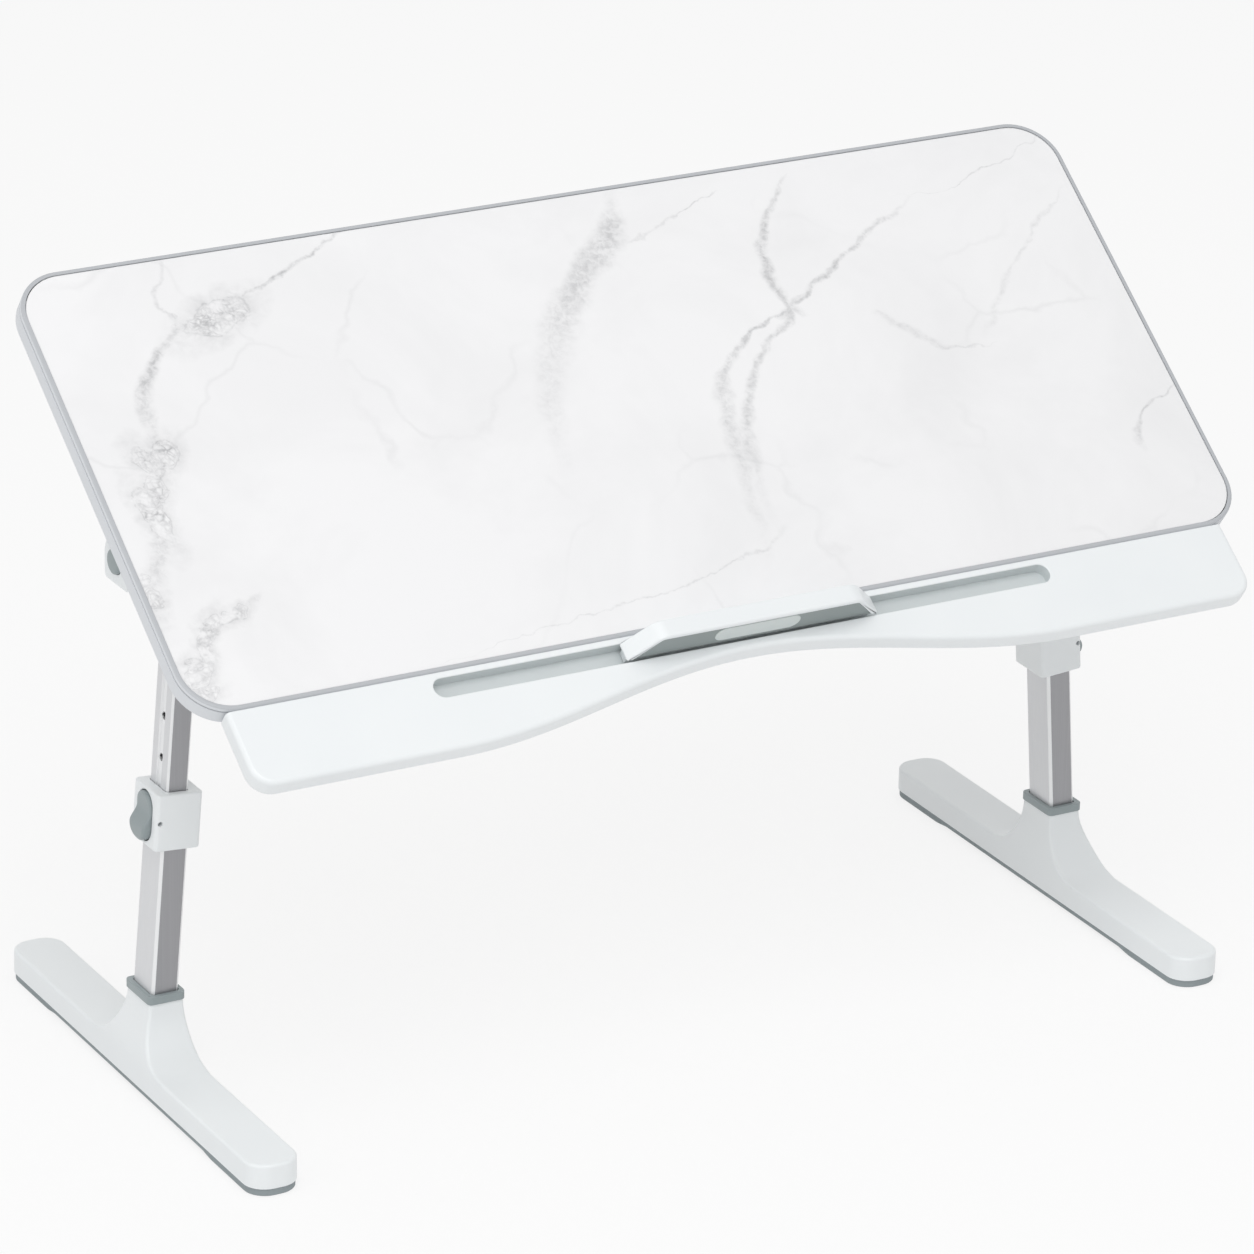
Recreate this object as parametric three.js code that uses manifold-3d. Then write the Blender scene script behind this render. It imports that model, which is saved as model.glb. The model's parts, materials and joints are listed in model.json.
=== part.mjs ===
// Folding laptop bed table: a tilting top on two telescoping legs with moulded T-feet.
// Millimetres, +Z up, +X to the right of someone sitting at the table, +Y away from them.
// The origin lies on the floor under the middle of the whole table.
// The table stands as it is used: top tilted, legs open and drawn out to their full height.

import * as THREE from 'three';
import { mergeVertices } from 'three/addons/utils/BufferGeometryUtils.js';
import Module from 'manifold-3d';

const wasm = await Module();
wasm.setup();

// Driving dimensions: the top
const tableWidth = 600;
const tableDepth = 262;
const tableCorner = 26;
const coreThickness = 10;
const laminateThickness = 0.8;
const tiltAngle = THREE.MathUtils.degToRad(36);

// Driving dimensions: the edge band
const bandLip = 2.4;
const bandProud = 0.4;
const bandEdgeRound = 1.3;
const bandGroove = 0.5;
const bandGrooveDrop = 2.8;
const bandTongueLength = 6;
const bandTongueThickness = 2;

// Driving dimensions: the wrist rest
const restInset = 17;
const restLobeDepth = 43;
const restWaistDepth = 19.5;
const restWaveHalfSpan = 172;
const restCorner = 12;
const restThickness = 10.5;
const restEdgeRound = 2.4;
const restStep = 7;
const restFlangeDepth = 22;
const restFlangeThickness = 2.5;
const restWall = 2.2;
const restPocketCount = 5;
const restPocketPitch = 41;
const restPocketStart = 62;
const restSkin = 3.4;
const restScrewCount = 5;
const troughLength = 350;
const troughWidth = 11;
const troughDepth = 7;
const troughBackWall = 3.2;

// Driving dimensions: the laptop stopper
const stopperBase = 144;
const stopperTop = 113;
const stopperHeight = 17;
const stopperTongue = 138;
const stopperCorner = 3;
const stopperEdgeRound = 1.2;
const stopperFrameWall = 2.2;
const stopperPocket = 3.5;
const stopperPadThickness = 2.4;
const inlayLength = 48;
const inlayHeight = 10.5;
const inlayThickness = 1;
const inlayPocket = 0.8;

// Driving dimensions: the hinge under each end of the top
const pivotDrop = 30;
const pivotForward = 14;
const plateThickness = 2.5;
const plateLength = 104;
const plateWidth = 46;
const plateCorner = 4;
const plateNotch = 20;
const foldAxisIn = 6;
const foldAxisDrop = 10;
const knuckleRadius = 5.5;
const knuckleLength = 10;
const barrelLength = 40;
const foldPinRadius = 2.3;
const foldPinHeadRadius = 3.7;
const cheekThickness = 4;
const cheekRadius = 13.5;
const cheekBossRadius = 7;
const cheekBossLength = 2.1;
const stopLugLength = 8;

// Driving dimensions: the leg head with its tilt lock
const legInset = 52;
const splay = THREE.MathUtils.degToRad(4.2);
const headOverhang = 37;
const headRadius = 13.5;
const headSkirt = 12.5;
const headCorner = 3;
const headStemLength = 25;
const headStemWall = 3;
const headEdgeRound = 1;
const coverThickness = 2.7;
const axleRadius = 4;
const coneRadius = 9;
const coneLength = 5.4;
const coneBody = 5;
const coneDepth = 8.9;
const chamberRadius = 8.2;
const chamberWeb = 4;
const buttonRadius = 6.5;
const buttonProud = 5;
const buttonFlangeRadius = 7.8;
const buttonFlangeThickness = 2;
const buttonLength = 19;
const buttonSocket = 3;
const buttonTravel = 2;
const tiltSpringRadius = 5.9;
const tiltSpringWire = 1;
const tiltSpringTurns = 5;

// Driving dimensions: the telescoping leg
const pivotHeight = 283;
const upperTubeWidth = 12;
const upperTubeDepth = 20;
const tubeWall = 1.2;
const tubeCorner = 2;
const upperTubeTop = 13.8;
const upperTubeEnd = 172;
const channelWidth = 6;
const channelDepth = 0.9;
const lowerTubeStart = 126.6;
const holePitch = 22;
const holeCount = 5;
const holeRadius = 2.1;
const lockHoleAt = 131;
const headPinRadius = 1.6;
const headPinAt = 19.5;
const glidePlugLength = 11;
const glideFootLength = 3;

// Driving dimensions: the height clamp and its lever
const clampWidth = 25;
const clampDepth = 28;
const clampTop = 124;
const clampHeight = 30;
const clampCorner = 2.6;
const clampEdgeRound = 1.2;
const leverWidth = 16;
const leverHeight = 25.4;
const leverPocketDepth = 3.8;
const leverPivotAt = 139;
const leverPivotIn = 1.6;
const leverPinRadius = 1.2;
const leverPinLength = 24;
const leverSwingRoom = 0.8;
const leverBossRadius = 2.6;
const leverBulge = 7.4;
const leverBulgeTop = 4.2;
const leverBulgeMiddle = 6.4;
const leverBulgeFoot = 10.2;
const leverFace = 3.4;
const leverInner = 1.7;
const leverRelief = 1.3;
const leverSkin = 1;
const leverWeb = 0.9;
const lockPinRadius = 1.8;
const lockPinHeadRadius = 2.9;
const lockPinHeadThickness = 1.2;
const lockPinPlay = 0.8;
const lockPinNoseBevel = 0.5;
const leverSpringRadius = 1.8;
const leverSpringWire = 0.6;
const leverSpringTurns = 4;
const leverSpringDrop = 8;
const leverSpringLength = 4.6;

// Driving dimensions: the foot
const footLength = 292;
const footWidth = 28;
const footTop = 17;
const footCorner = 9;
const footEdgeRound = 2.2;
const soleThickness = 2.3;
const padThickness = 1.5;
const padLength = 38;
const riserHeight = 30;
const riserFlare = 27;
const riserCorner = 4;
const riserWidth = 19;
const riserDepth = 27;
const collarHeight = 4.4;
const collarProud = 0.8;
const socketFloor = 8;

// Screws, all of one kind: cross-head wood screws
const screwRadius = 1.7;
const screwHeadRadius = 3.3;
const screwHeadHeight = 1.8;
const screwReach = 7.5;

// Clearances and how finely round shapes are drawn
const seatGap = 0.3;
const runningGap = 0.3;
const overrun = 5;
const roundSteps = 16;
const smallRoundSteps = 8;
const tableCornerSteps = 6;
const cornerSteps = 4;
const smallCornerSteps = 2;
const clampCornerSteps = 3;
const bevelSteps = 1;
const fineBevelSteps = 2;
const restWaveSteps = 20;
const riserLevels = 7;
const coilSides = 4;
const coilStepsPerTurn = 8;

// Where the legs stand and the wrist rest ends, from the ends of the top
const legOut = tableWidth / 2 - legInset;
const foldAxisOut = legOut - foldAxisIn;
const restWidth = tableWidth - 2 * restInset;

// Colours and finishes
const finishes = {
  marble: { color: 0xf1f1f1, roughness: 0.35, metalness: 0 },
  board: { color: 0xc9a878, roughness: 0.8, metalness: 0 },
  band: { color: 0xc9ced2, roughness: 0.45, metalness: 0 },
  whitePlastic: { color: 0xeef1f3, roughness: 0.4, metalness: 0 },
  greyPlastic: { color: 0x96a0a2, roughness: 0.5, metalness: 0 },
  padGrey: { color: 0x8e9696, roughness: 0.7, metalness: 0 },
  inlay: { color: 0xd3dad9, roughness: 0.35, metalness: 0 },
  aluminium: { color: 0xd4d5d8, roughness: 0.35, metalness: 1 },
  steel: { color: 0xb8babd, roughness: 0.3, metalness: 1 },
  rubber: { color: 0x8a9294, roughness: 0.85, metalness: 0 },
};

// Solids: closed meshes in and out of the boolean library

function toSolid(geometry) {
  const bare = geometry.clone();
  bare.deleteAttribute('normal');
  bare.deleteAttribute('uv');
  const merged = mergeVertices(bare);
  return new wasm.Manifold(new wasm.Mesh({
    numProp: 3,
    vertProperties: new Float32Array(merged.attributes.position.array),
    triVerts: new Uint32Array(merged.index.array),
  }));
}

function toGeometry(solid) {
  const mesh = solid.getMesh();
  const geometry = new THREE.BufferGeometry();
  geometry.setAttribute('position', new THREE.BufferAttribute(mesh.vertProperties, 3));
  geometry.setIndex(new THREE.BufferAttribute(mesh.triVerts, 1));
  geometry.computeVertexNormals();
  return geometry;
}

function join(...geometries) {
  return toGeometry(geometries.map(toSolid).reduce((whole, next) => whole.add(next)));
}

function cut(geometry, ...tools) {
  return toGeometry(tools.map(toSolid).reduce((whole, tool) => whole.subtract(tool), toSolid(geometry)));
}

// A closed mesh from points and triangles, turned so that its faces point out
function closedMesh(positions, triangles) {
  let volume = 0;
  const corner = (index) => new THREE.Vector3().fromArray(positions, 3 * index);
  for (let i = 0; i < triangles.length; i += 3) {
    const [a, b, c] = [corner(triangles[i]), corner(triangles[i + 1]), corner(triangles[i + 2])];
    volume += a.dot(b.cross(c));
  }
  const facing = volume > 0 ? triangles : triangles.slice().reverse();
  const geometry = new THREE.BufferGeometry();
  geometry.setAttribute('position', new THREE.Float32BufferAttribute(positions, 3));
  geometry.setIndex(facing);
  geometry.computeVertexNormals();
  return geometry;
}

// Rings of equally many points joined into a skin, closed at the ends by fans or into a loop
function skin(rings, loops) {
  const count = rings[0].length;
  const positions = rings.flat().flatMap((point) => point.toArray());
  const triangles = [];
  const last = loops ? rings.length : rings.length - 1;
  for (let ring = 0; ring < last; ring += 1) {
    const next = (ring + 1) % rings.length;
    for (let i = 0; i < count; i += 1) {
      const j = (i + 1) % count;
      const [a, b, c, d] = [ring * count + i, ring * count + j, next * count + j, next * count + i];
      triangles.push(a, b, c, a, c, d);
    }
  }
  if (!loops) {
    for (let i = 1; i < count - 1; i += 1) {
      const end = (rings.length - 1) * count;
      triangles.push(0, i + 1, i, end, end + i, end + i + 1);
    }
  }
  return closedMesh(positions, triangles);
}

function mirrored(geometry) {
  const whole = geometry.index ? geometry : mergeVertices(geometry);
  const positions = Array.from(whole.attributes.position.array, (value, i) => (i % 3 ? value : -value));
  return closedMesh(positions, Array.from(whole.index.array));
}

// Shapes and simple bodies

// Each corner is drawn in twice as many segments as the steps given
function roundedRectangle(width, depth, radius, steps = smallCornerSteps) {
  const shape = new THREE.Shape();
  const [x, y] = [width / 2 - radius, depth / 2 - radius];
  shape.absarc(x, y, radius, 0, Math.PI / 2, false);
  shape.absarc(-x, y, radius, Math.PI / 2, Math.PI, false);
  shape.absarc(-x, -y, radius, Math.PI, 1.5 * Math.PI, false);
  shape.absarc(x, -y, radius, 1.5 * Math.PI, 2 * Math.PI, false);
  const points = shape.getPoints(steps);
  return new THREE.Shape(points);
}

// A slot with round ends; its ends stop just short of half circles, so that no side has zero length
function stadium(length, width, steps = cornerSteps) {
  const endShare = 0.499;
  return roundedRectangle(length, width, width * endShare, steps);
}

// A plate from a shape in XY, from z = 0 up, its edges rounded where a radius is given
function plate(shape, thickness, edgeRound = 0, steps = bevelSteps) {
  const geometry = new THREE.ExtrudeGeometry(shape, {
    depth: thickness - 2 * edgeRound,
    steps: 1,
    curveSegments: cornerSteps,
    bevelEnabled: edgeRound > 0,
    bevelThickness: edgeRound,
    bevelSize: edgeRound,
    bevelOffset: -edgeRound,
    bevelSegments: steps,
  });
  return geometry.translate(0, 0, edgeRound);
}

// The same plate with the shape's X and Y laid along the named axes, growing along the third
function plateAlongX(shape, thickness, edgeRound = 0) {
  return plate(shape, thickness, edgeRound).rotateX(Math.PI / 2).rotateZ(Math.PI / 2);
}

function plateAlongY(shape, thickness, edgeRound = 0) {
  return plate(shape, thickness, edgeRound).rotateX(Math.PI / 2).translate(0, thickness, 0);
}

function box(x0, x1, y0, y1, z0, z1) {
  return new THREE.BoxGeometry(x1 - x0, y1 - y0, z1 - z0)
    .translate((x0 + x1) / 2, (y0 + y1) / 2, (z0 + z1) / 2);
}

function rod(radius, from, to, steps = smallRoundSteps) {
  return new THREE.CylinderGeometry(radius, radius, to - from, steps)
    .rotateX(Math.PI / 2)
    .translate(0, 0, (from + to) / 2);
}

function rodAlongX(radius, from, to, steps = smallRoundSteps) {
  return rod(radius, from, to, steps).rotateY(Math.PI / 2);
}

function rodAlongY(radius, from, to, steps = smallRoundSteps) {
  return rod(radius, -to, -from, steps).rotateX(Math.PI / 2);
}

// A turned body from [radius, x] points, its axis along X
function turnedAlongX(profile, steps = roundSteps) {
  const points = profile.map(([radius, x]) => new THREE.Vector2(radius, x));
  return new THREE.LatheGeometry(points, steps).rotateZ(-Math.PI / 2);
}

// A closed coil along X, one unbroken round wire
function coilAlongX(radius, wire, turns, from, to) {
  const steps = turns * coilStepsPerTurn;
  const travel = to - from - wire;
  const rings = [];
  for (let step = 0; step <= steps; step += 1) {
    const angle = (step / coilStepsPerTurn) * 2 * Math.PI;
    const x = from + wire / 2 + (travel * step) / steps;
    const out = new THREE.Vector3(0, Math.cos(angle), Math.sin(angle));
    const rise = travel / (turns * 2 * Math.PI * radius);
    const along = new THREE.Vector3(rise, -Math.sin(angle), Math.cos(angle));
    const across = new THREE.Vector3().crossVectors(along.normalize(), out);
    rings.push(Array.from({ length: coilSides }, (_, side) => {
      const turn = (side / coilSides) * 2 * Math.PI;
      return new THREE.Vector3(x, 0, 0)
        .addScaledVector(out, radius + (wire / 2) * Math.cos(turn))
        .addScaledVector(across, (wire / 2) * Math.sin(turn));
    }));
  }
  return skin(rings, false);
}

// A profile of [outwards, up] points carried round the outline of the top
function aroundTheTop(profile) {
  const rings = [];
  const [x, y] = [tableWidth / 2 - tableCorner, tableDepth / 2 - tableCorner];
  const centres = [[x, y], [-x, y], [-x, -y], [x, -y]];
  centres.forEach(([cx, cy], quarter) => {
    for (let step = 0; step <= tableCornerSteps; step += 1) {
      const angle = ((quarter + step / tableCornerSteps) * Math.PI) / 2;
      rings.push(profile.map(([out, up]) => new THREE.Vector3(
        cx + (tableCorner + out) * Math.cos(angle),
        cy + (tableCorner + out) * Math.sin(angle),
        up,
      )));
    }
  });
  return skin(rings, true);
}

// A wood screw standing head down, its head's underside at z = 0 and its shank going up
function screw(x, y, z) {
  const profile = [
    [0, -screwHeadHeight],
    [screwHeadRadius - screwHeadHeight / 2, -screwHeadHeight],
    [screwHeadRadius, 0],
    [screwRadius, 0],
    [screwRadius, screwReach - screwRadius],
    [0, screwReach],
  ];
  const points = profile.map(([radius, up]) => new THREE.Vector2(radius, up));
  return new THREE.LatheGeometry(points, smallRoundSteps).rotateX(Math.PI / 2).translate(x, y, z);
}

function pilotHole(x, y, z) {
  return rod(screwRadius + runningGap, z - overrun, z + screwReach + runningGap).translate(x, y, 0);
}

// The scene graph: the top turns about the pivots, the legs stand under it

const bedTable = new THREE.Group();

function addMesh(parent, name, geometry, finish) {
  const mesh = new THREE.Mesh(geometry, new THREE.MeshStandardMaterial(finishes[finish]));
  mesh.name = name;
  parent.add(mesh);
  return mesh;
}

const tilted = new THREE.Group();
tilted.position.set(0, 0, pivotHeight);
tilted.rotation.x = tiltAngle;
const top = new THREE.Group();
top.position.set(0, pivotForward, pivotDrop);
const hinges = new THREE.Group();
hinges.position.set(0, 0, pivotDrop);
tilted.add(top, hinges);

// Table top: a board with a marble laminate, closed by an extruded band pressed into its edge

const bandFoot = -bandProud;
const laminateFoot = coreThickness + seatGap;
const bandHead = laminateFoot + laminateThickness + bandProud;
const boardInset = bandLip + seatGap;
const tongueMiddle = coreThickness / 2;
const grooveAt = bandHead - bandGrooveDrop;

const bandProfile = [
  [-bandLip, bandFoot],
  [-bandEdgeRound, bandFoot],
  [-bandEdgeRound / 4, bandFoot + bandEdgeRound / 4],
  [0, bandFoot + bandEdgeRound],
  [0, grooveAt - bandGroove],
  [-bandGroove, grooveAt],
  [0, grooveAt + bandGroove],
  [0, bandHead - bandEdgeRound],
  [-bandEdgeRound / 4, bandHead - bandEdgeRound / 4],
  [-bandEdgeRound, bandHead],
  [-bandLip, bandHead],
  [-bandLip, tongueMiddle + bandTongueThickness / 2],
  [-bandLip - bandTongueLength, tongueMiddle + bandTongueThickness / 4],
  [-bandLip - bandTongueLength, tongueMiddle - bandTongueThickness / 4],
  [-bandLip, tongueMiddle - bandTongueThickness / 2],
];

const slotInner = -bandLip - bandTongueLength - seatGap;
const slotHalf = bandTongueThickness / 2 + seatGap;
const slotProfile = [
  [overrun, tongueMiddle - slotHalf],
  [overrun, tongueMiddle + slotHalf],
  [slotInner, tongueMiddle + slotHalf],
  [slotInner, tongueMiddle - slotHalf],
];

const plateScrewPlaces = [-1, 1].flatMap((end) => [-1, 1].map((row) => [
  foldAxisOut + plateWidth / 2 - foldAxisDrop + (row * plateWidth) / 4,
  end * (plateLength / 2 - foldAxisDrop),
]));

const restScrewPitch = (restWidth - tableCorner * 2) / restScrewCount;
const restScrewPlaces = Array.from({ length: restScrewCount }, (_, i) => [
  (i - (restScrewCount - 1) / 2) * restScrewPitch,
  restFlangeDepth / 2 - tableDepth / 2,
]);

const boardOutline = roundedRectangle(
  tableWidth - 2 * boardInset,
  tableDepth - 2 * boardInset,
  tableCorner - boardInset,
  tableCornerSteps / 2,
);

function plateScrewHoles(side) {
  return plateScrewPlaces.map(([x, y]) => pilotHole(side * x, y - pivotForward, -plateThickness));
}

const boardHoles = [
  ...restScrewPlaces.map(([x, y]) => pilotHole(x, y, -restFlangeThickness)),
  ...plateScrewHoles(-1),
  ...plateScrewHoles(1),
];

const boardCore = cut(plate(boardOutline, coreThickness), aroundTheTop(slotProfile), ...boardHoles);
const laminate = plate(boardOutline, laminateThickness).translate(0, 0, laminateFoot);

addMesh(top, 'board_core', boardCore, 'board');
addMesh(top, 'marble_laminate', laminate, 'marble');
addMesh(top, 'edge_band', aroundTheTop(bandProfile), 'band');

// Wrist rest: a moulding whose front edge swells at both hands and draws in between them

const restRear = -tableDepth / 2 - seatGap;
const restHead = bandHead - bandProud / 2;
const restFoot = restHead - restThickness;
const flangeHead = bandFoot - seatGap;
const flangeFoot = flangeHead - restFlangeThickness;
const troughMiddle = restRear - troughBackWall - troughWidth / 2;
const troughFloor = restHead - troughDepth;

function restDepthAt(x) {
  const share = Math.min(Math.abs(x) / restWaveHalfSpan, 1);
  return restWaistDepth + ((restLobeDepth - restWaistDepth) * (1 - Math.cos(Math.PI * share))) / 2;
}

function restOutline() {
  const shape = new THREE.Shape();
  const [half, front] = [restWidth / 2, restRear - restLobeDepth];
  shape.moveTo(half, restRear);
  shape.lineTo(-half, restRear);
  shape.absarc(-half + restCorner, front + restCorner, restCorner, Math.PI, 1.5 * Math.PI, false);
  for (let step = 0; step <= restWaveSteps; step += 1) {
    const x = restWaveHalfSpan * ((2 * step) / restWaveSteps - 1);
    shape.lineTo(x, restRear - restDepthAt(x));
  }
  shape.absarc(half - restCorner, front + restCorner, restCorner, 1.5 * Math.PI, 2 * Math.PI, false);
  return new THREE.Shape(shape.getPoints(cornerSteps));
}

function restPockets() {
  const pockets = [];
  for (let i = 0; i < restPocketCount; i += 1) {
    const near = restPocketStart + i * restPocketPitch;
    const far = near + restPocketPitch - restWall;
    const rear = troughMiddle - troughWidth / 2 - restWall;
    const front = restRear - restDepthAt(near) + restEdgeRound + restWall;
    [-1, 1].forEach((side) => {
      const [x0, x1] = side > 0 ? [near, far] : [-far, -near];
      pockets.push(box(x0, x1, front, rear, restFoot - overrun, restHead - restSkin));
    });
  }
  return pockets;
}

const flangeEnd = restWidth / 2 - restCorner;
const flangeRear = restFlangeDepth - tableDepth / 2;
const restFlange = box(-flangeEnd, flangeEnd, restRear - restStep, flangeRear, flangeFoot, flangeHead);
const stepHead = restFoot + restEdgeRound;
const restStepUp = box(-flangeEnd, flangeEnd, restRear - restStep, restRear, flangeFoot, stepHead);
const restBody = plate(restOutline(), restThickness, restEdgeRound, fineBevelSteps).translate(0, 0, restFoot);
const trough = plate(stadium(troughLength, troughWidth, cornerSteps), troughDepth + overrun)
  .translate(0, troughMiddle, troughFloor);
const restScrewHoles = restScrewPlaces.map(([x, y]) => pilotHole(x, y, flangeFoot));

addMesh(
  top,
  'wrist_rest',
  cut(join(restBody, restFlange, restStepUp), trough, ...restPockets(), ...restScrewHoles),
  'whitePlastic',
);
restScrewPlaces.forEach(([x, y], i) => {
  addMesh(top, `wrist_rest_screw_${i + 1}`, screw(x, y, flangeFoot - seatGap), 'steel');
});

// Laptop stopper: a frame whose tongue runs in the trough, with a soft pad let into its face

const stopperThickness = troughWidth - 2 * runningGap;
const stopperFoot = troughFloor + runningGap;
const stopperHead = restHead + stopperHeight;
const stopperShoulder = restHead + runningGap;
const stopperFront = troughMiddle - stopperThickness / 2;
const stopper = new THREE.Group();
top.add(stopper);

function stopperFace(inset, foot) {
  const slope = (stopperBase - stopperTop) / 2 / (stopperHead - stopperShoulder);
  const head = stopperHead - inset;
  const halfAt = (z) => stopperTop / 2 + slope * (stopperHead - z) - inset;
  const shape = new THREE.Shape();
  const round = stopperCorner - Math.min(inset, stopperCorner / 2);
  shape.moveTo(halfAt(foot), foot);
  shape.lineTo(halfAt(head - round), head - round);
  shape.quadraticCurveTo(halfAt(head), head, halfAt(head) - round, head);
  shape.lineTo(-halfAt(head) + round, head);
  shape.quadraticCurveTo(-halfAt(head), head, -halfAt(head - round), head - round);
  shape.lineTo(-halfAt(foot), foot);
  return new THREE.Shape(shape.getPoints(cornerSteps));
}

const stopperBody = plateAlongY(stopperFace(0, stopperShoulder), stopperThickness, stopperEdgeRound)
  .translate(0, stopperFront, 0);
const stopperTongueBody = plate(
  roundedRectangle(stopperTongue, stopperThickness, stopperThickness / 2 - stopperEdgeRound),
  stopperShoulder + stopperEdgeRound * 2 - stopperFoot,
).translate(0, troughMiddle, stopperFoot);
const padFoot = stopperShoulder + stopperEdgeRound;
const stopperRecess = plateAlongY(stopperFace(stopperFrameWall, padFoot), stopperPocket + overrun)
  .translate(0, stopperFront - overrun, 0);
const padBack = stopperFront + stopperPocket - seatGap;
const padBlank = plateAlongY(stopperFace(stopperFrameWall + seatGap, padFoot + seatGap), stopperPadThickness)
  .translate(0, padBack - stopperPadThickness, 0);
const inlayMiddle = (padFoot + stopperHead - stopperFrameWall) / 2;
const padFront = padBack - stopperPadThickness;
const inlayRecess = plateAlongY(
  stadium(inlayLength + 2 * seatGap, inlayHeight + 2 * seatGap, smallRoundSteps / 2),
  inlayPocket + overrun,
).translate(0, padFront + inlayPocket - (inlayPocket + overrun), inlayMiddle);
const inlayBody = plateAlongY(stadium(inlayLength, inlayHeight, smallRoundSteps / 2), inlayThickness)
  .translate(0, padFront + inlayPocket - seatGap - inlayThickness, inlayMiddle);

addMesh(stopper, 'stopper_frame', cut(join(stopperBody, stopperTongueBody), stopperRecess), 'whitePlastic');
addMesh(stopper, 'stopper_pad', cut(padBlank, inlayRecess), 'padGrey');
addMesh(stopper, 'stopper_inlay', inlayBody, 'inlay');

// Hinge plate: a pressed steel leaf screwed under the board, with two knuckles for the fold pin

const plateInner = foldAxisOut - foldAxisDrop;
const plateOuter = plateInner + plateWidth;
const knuckleStart = barrelLength / 2 + runningGap;

function plateOutline() {
  const [half, notch] = [plateLength / 2, knuckleStart];
  const shape = new THREE.Shape();
  shape.moveTo(plateInner, notch);
  shape.lineTo(plateInner + plateNotch, notch);
  shape.lineTo(plateInner + plateNotch, -notch);
  shape.lineTo(plateInner, -notch);
  shape.absarc(plateInner + plateCorner, -half + plateCorner, plateCorner, Math.PI, 1.5 * Math.PI, false);
  shape.absarc(plateOuter - plateCorner, -half + plateCorner, plateCorner, 1.5 * Math.PI, 2 * Math.PI, false);
  shape.absarc(plateOuter - plateCorner, half - plateCorner, plateCorner, 0, Math.PI / 2, false);
  shape.absarc(plateInner + plateCorner, half - plateCorner, plateCorner, Math.PI / 2, Math.PI, false);
  return new THREE.Shape(shape.getPoints(smallCornerSteps));
}

function hingePlate() {
  const leaf = plate(plateOutline(), plateThickness).translate(0, 0, -seatGap - plateThickness);
  const knuckles = [-1, 1].flatMap((end) => {
    const reach = knuckleStart + knuckleLength;
    const [y0, y1] = end > 0 ? [knuckleStart, reach] : [-reach, -knuckleStart];
    return [
      rodAlongY(knuckleRadius, y0, y1, roundSteps).translate(foldAxisOut, 0, -foldAxisDrop),
      box(
        foldAxisOut - knuckleRadius,
        foldAxisOut + knuckleRadius,
        y0,
        y1,
        -foldAxisDrop,
        -seatGap - plateThickness / 2,
      ),
    ];
  });
  const bore = rodAlongY(foldPinRadius + runningGap, -plateLength, plateLength)
    .translate(foldAxisOut, 0, -foldAxisDrop);
  const screwHole = rod(screwRadius + runningGap, -plateLength, 0);
  const holes = plateScrewPlaces.map(([x, y]) => screwHole.clone().translate(x, y, 0));
  return cut(join(leaf, ...knuckles), bore, ...holes);
}

function foldPin() {
  const half = knuckleStart + knuckleLength;
  const headThickness = foldPinRadius / 2;
  const head = rodAlongY(foldPinHeadRadius, half + seatGap, half + seatGap + headThickness);
  return join(rodAlongY(foldPinRadius, -half - headThickness, half + seatGap + headThickness / 2), head)
    .translate(foldAxisOut, 0, -foldAxisDrop);
}

function plateScrews() {
  return plateScrewPlaces.map(([x, y]) => screw(x, y, -2 * seatGap - plateThickness));
}

// Fold bracket: swings on the fold pin, and carries the leg head on its cheek

const headInner = legOut - headRadius + cheekThickness;
const cheekOuter = headInner - runningGap;
const cheekInner = cheekOuter - cheekThickness;

function cheekOutline() {
  const shape = new THREE.Shape();
  const rise = pivotDrop - foldAxisDrop + knuckleRadius / 2;
  shape.absarc(0, 0, cheekRadius, Math.PI, 2 * Math.PI, false);
  shape.lineTo(cheekRadius, rise);
  shape.lineTo(-cheekRadius, rise);
  return new THREE.Shape(shape.getPoints(cornerSteps));
}

function foldBracket() {
  const cheek = plateAlongX(cheekOutline(), cheekThickness).translate(cheekInner, 0, -pivotDrop);
  const bossStart = cheekInner + cheekThickness / 2;
  const boss = rodAlongX(cheekBossRadius, bossStart, cheekOuter + cheekBossLength, roundSteps)
    .translate(0, 0, -pivotDrop);
  const barrel = rodAlongY(knuckleRadius, -barrelLength / 2, barrelLength / 2, roundSteps)
    .translate(foldAxisOut, 0, -foldAxisDrop);
  const web = box(
    cheekInner,
    foldAxisOut,
    -cheekRadius,
    cheekRadius,
    -foldAxisDrop - knuckleRadius + runningGap,
    -foldAxisDrop + knuckleRadius / 2,
  );
  const lugFrom = plateInner + plateNotch + runningGap;
  const bridge = box(
    foldAxisOut,
    lugFrom + stopLugLength,
    -cheekRadius,
    cheekRadius,
    -foldAxisDrop - knuckleRadius / 2,
    -foldAxisDrop + knuckleRadius / 2,
  );
  const lug = box(
    lugFrom,
    lugFrom + stopLugLength,
    -cheekRadius,
    cheekRadius,
    -foldAxisDrop,
    -2 * seatGap - plateThickness,
  );
  const foldBore = rodAlongY(foldPinRadius + runningGap, -plateLength, plateLength)
    .translate(foldAxisOut, 0, -foldAxisDrop);
  const axleBore = rodAlongX(axleRadius + runningGap, cheekInner - overrun, cheekOuter + overrun, roundSteps)
    .translate(0, 0, -pivotDrop);
  return cut(join(cheek, boss, barrel, web, bridge, lug), foldBore, axleBore);
}

// Leg head: hangs on the cheek, holds the tilt lock's cone and spring, and takes the upper tube

const headOuter = headOverhang - coverThickness - seatGap;
const headStart = headInner - legOut;
const coneSeat = headStart + coneDepth;
const coneNose = coneSeat + coneLength;
const coneSlope = (coneRadius - axleRadius) / coneLength;
const coneBack = coneSeat - coneBody;
const chamberStart = coneNose + chamberWeb;
const coneShift = seatGap * Math.hypot(1, coneSlope) / coneSlope;

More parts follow.
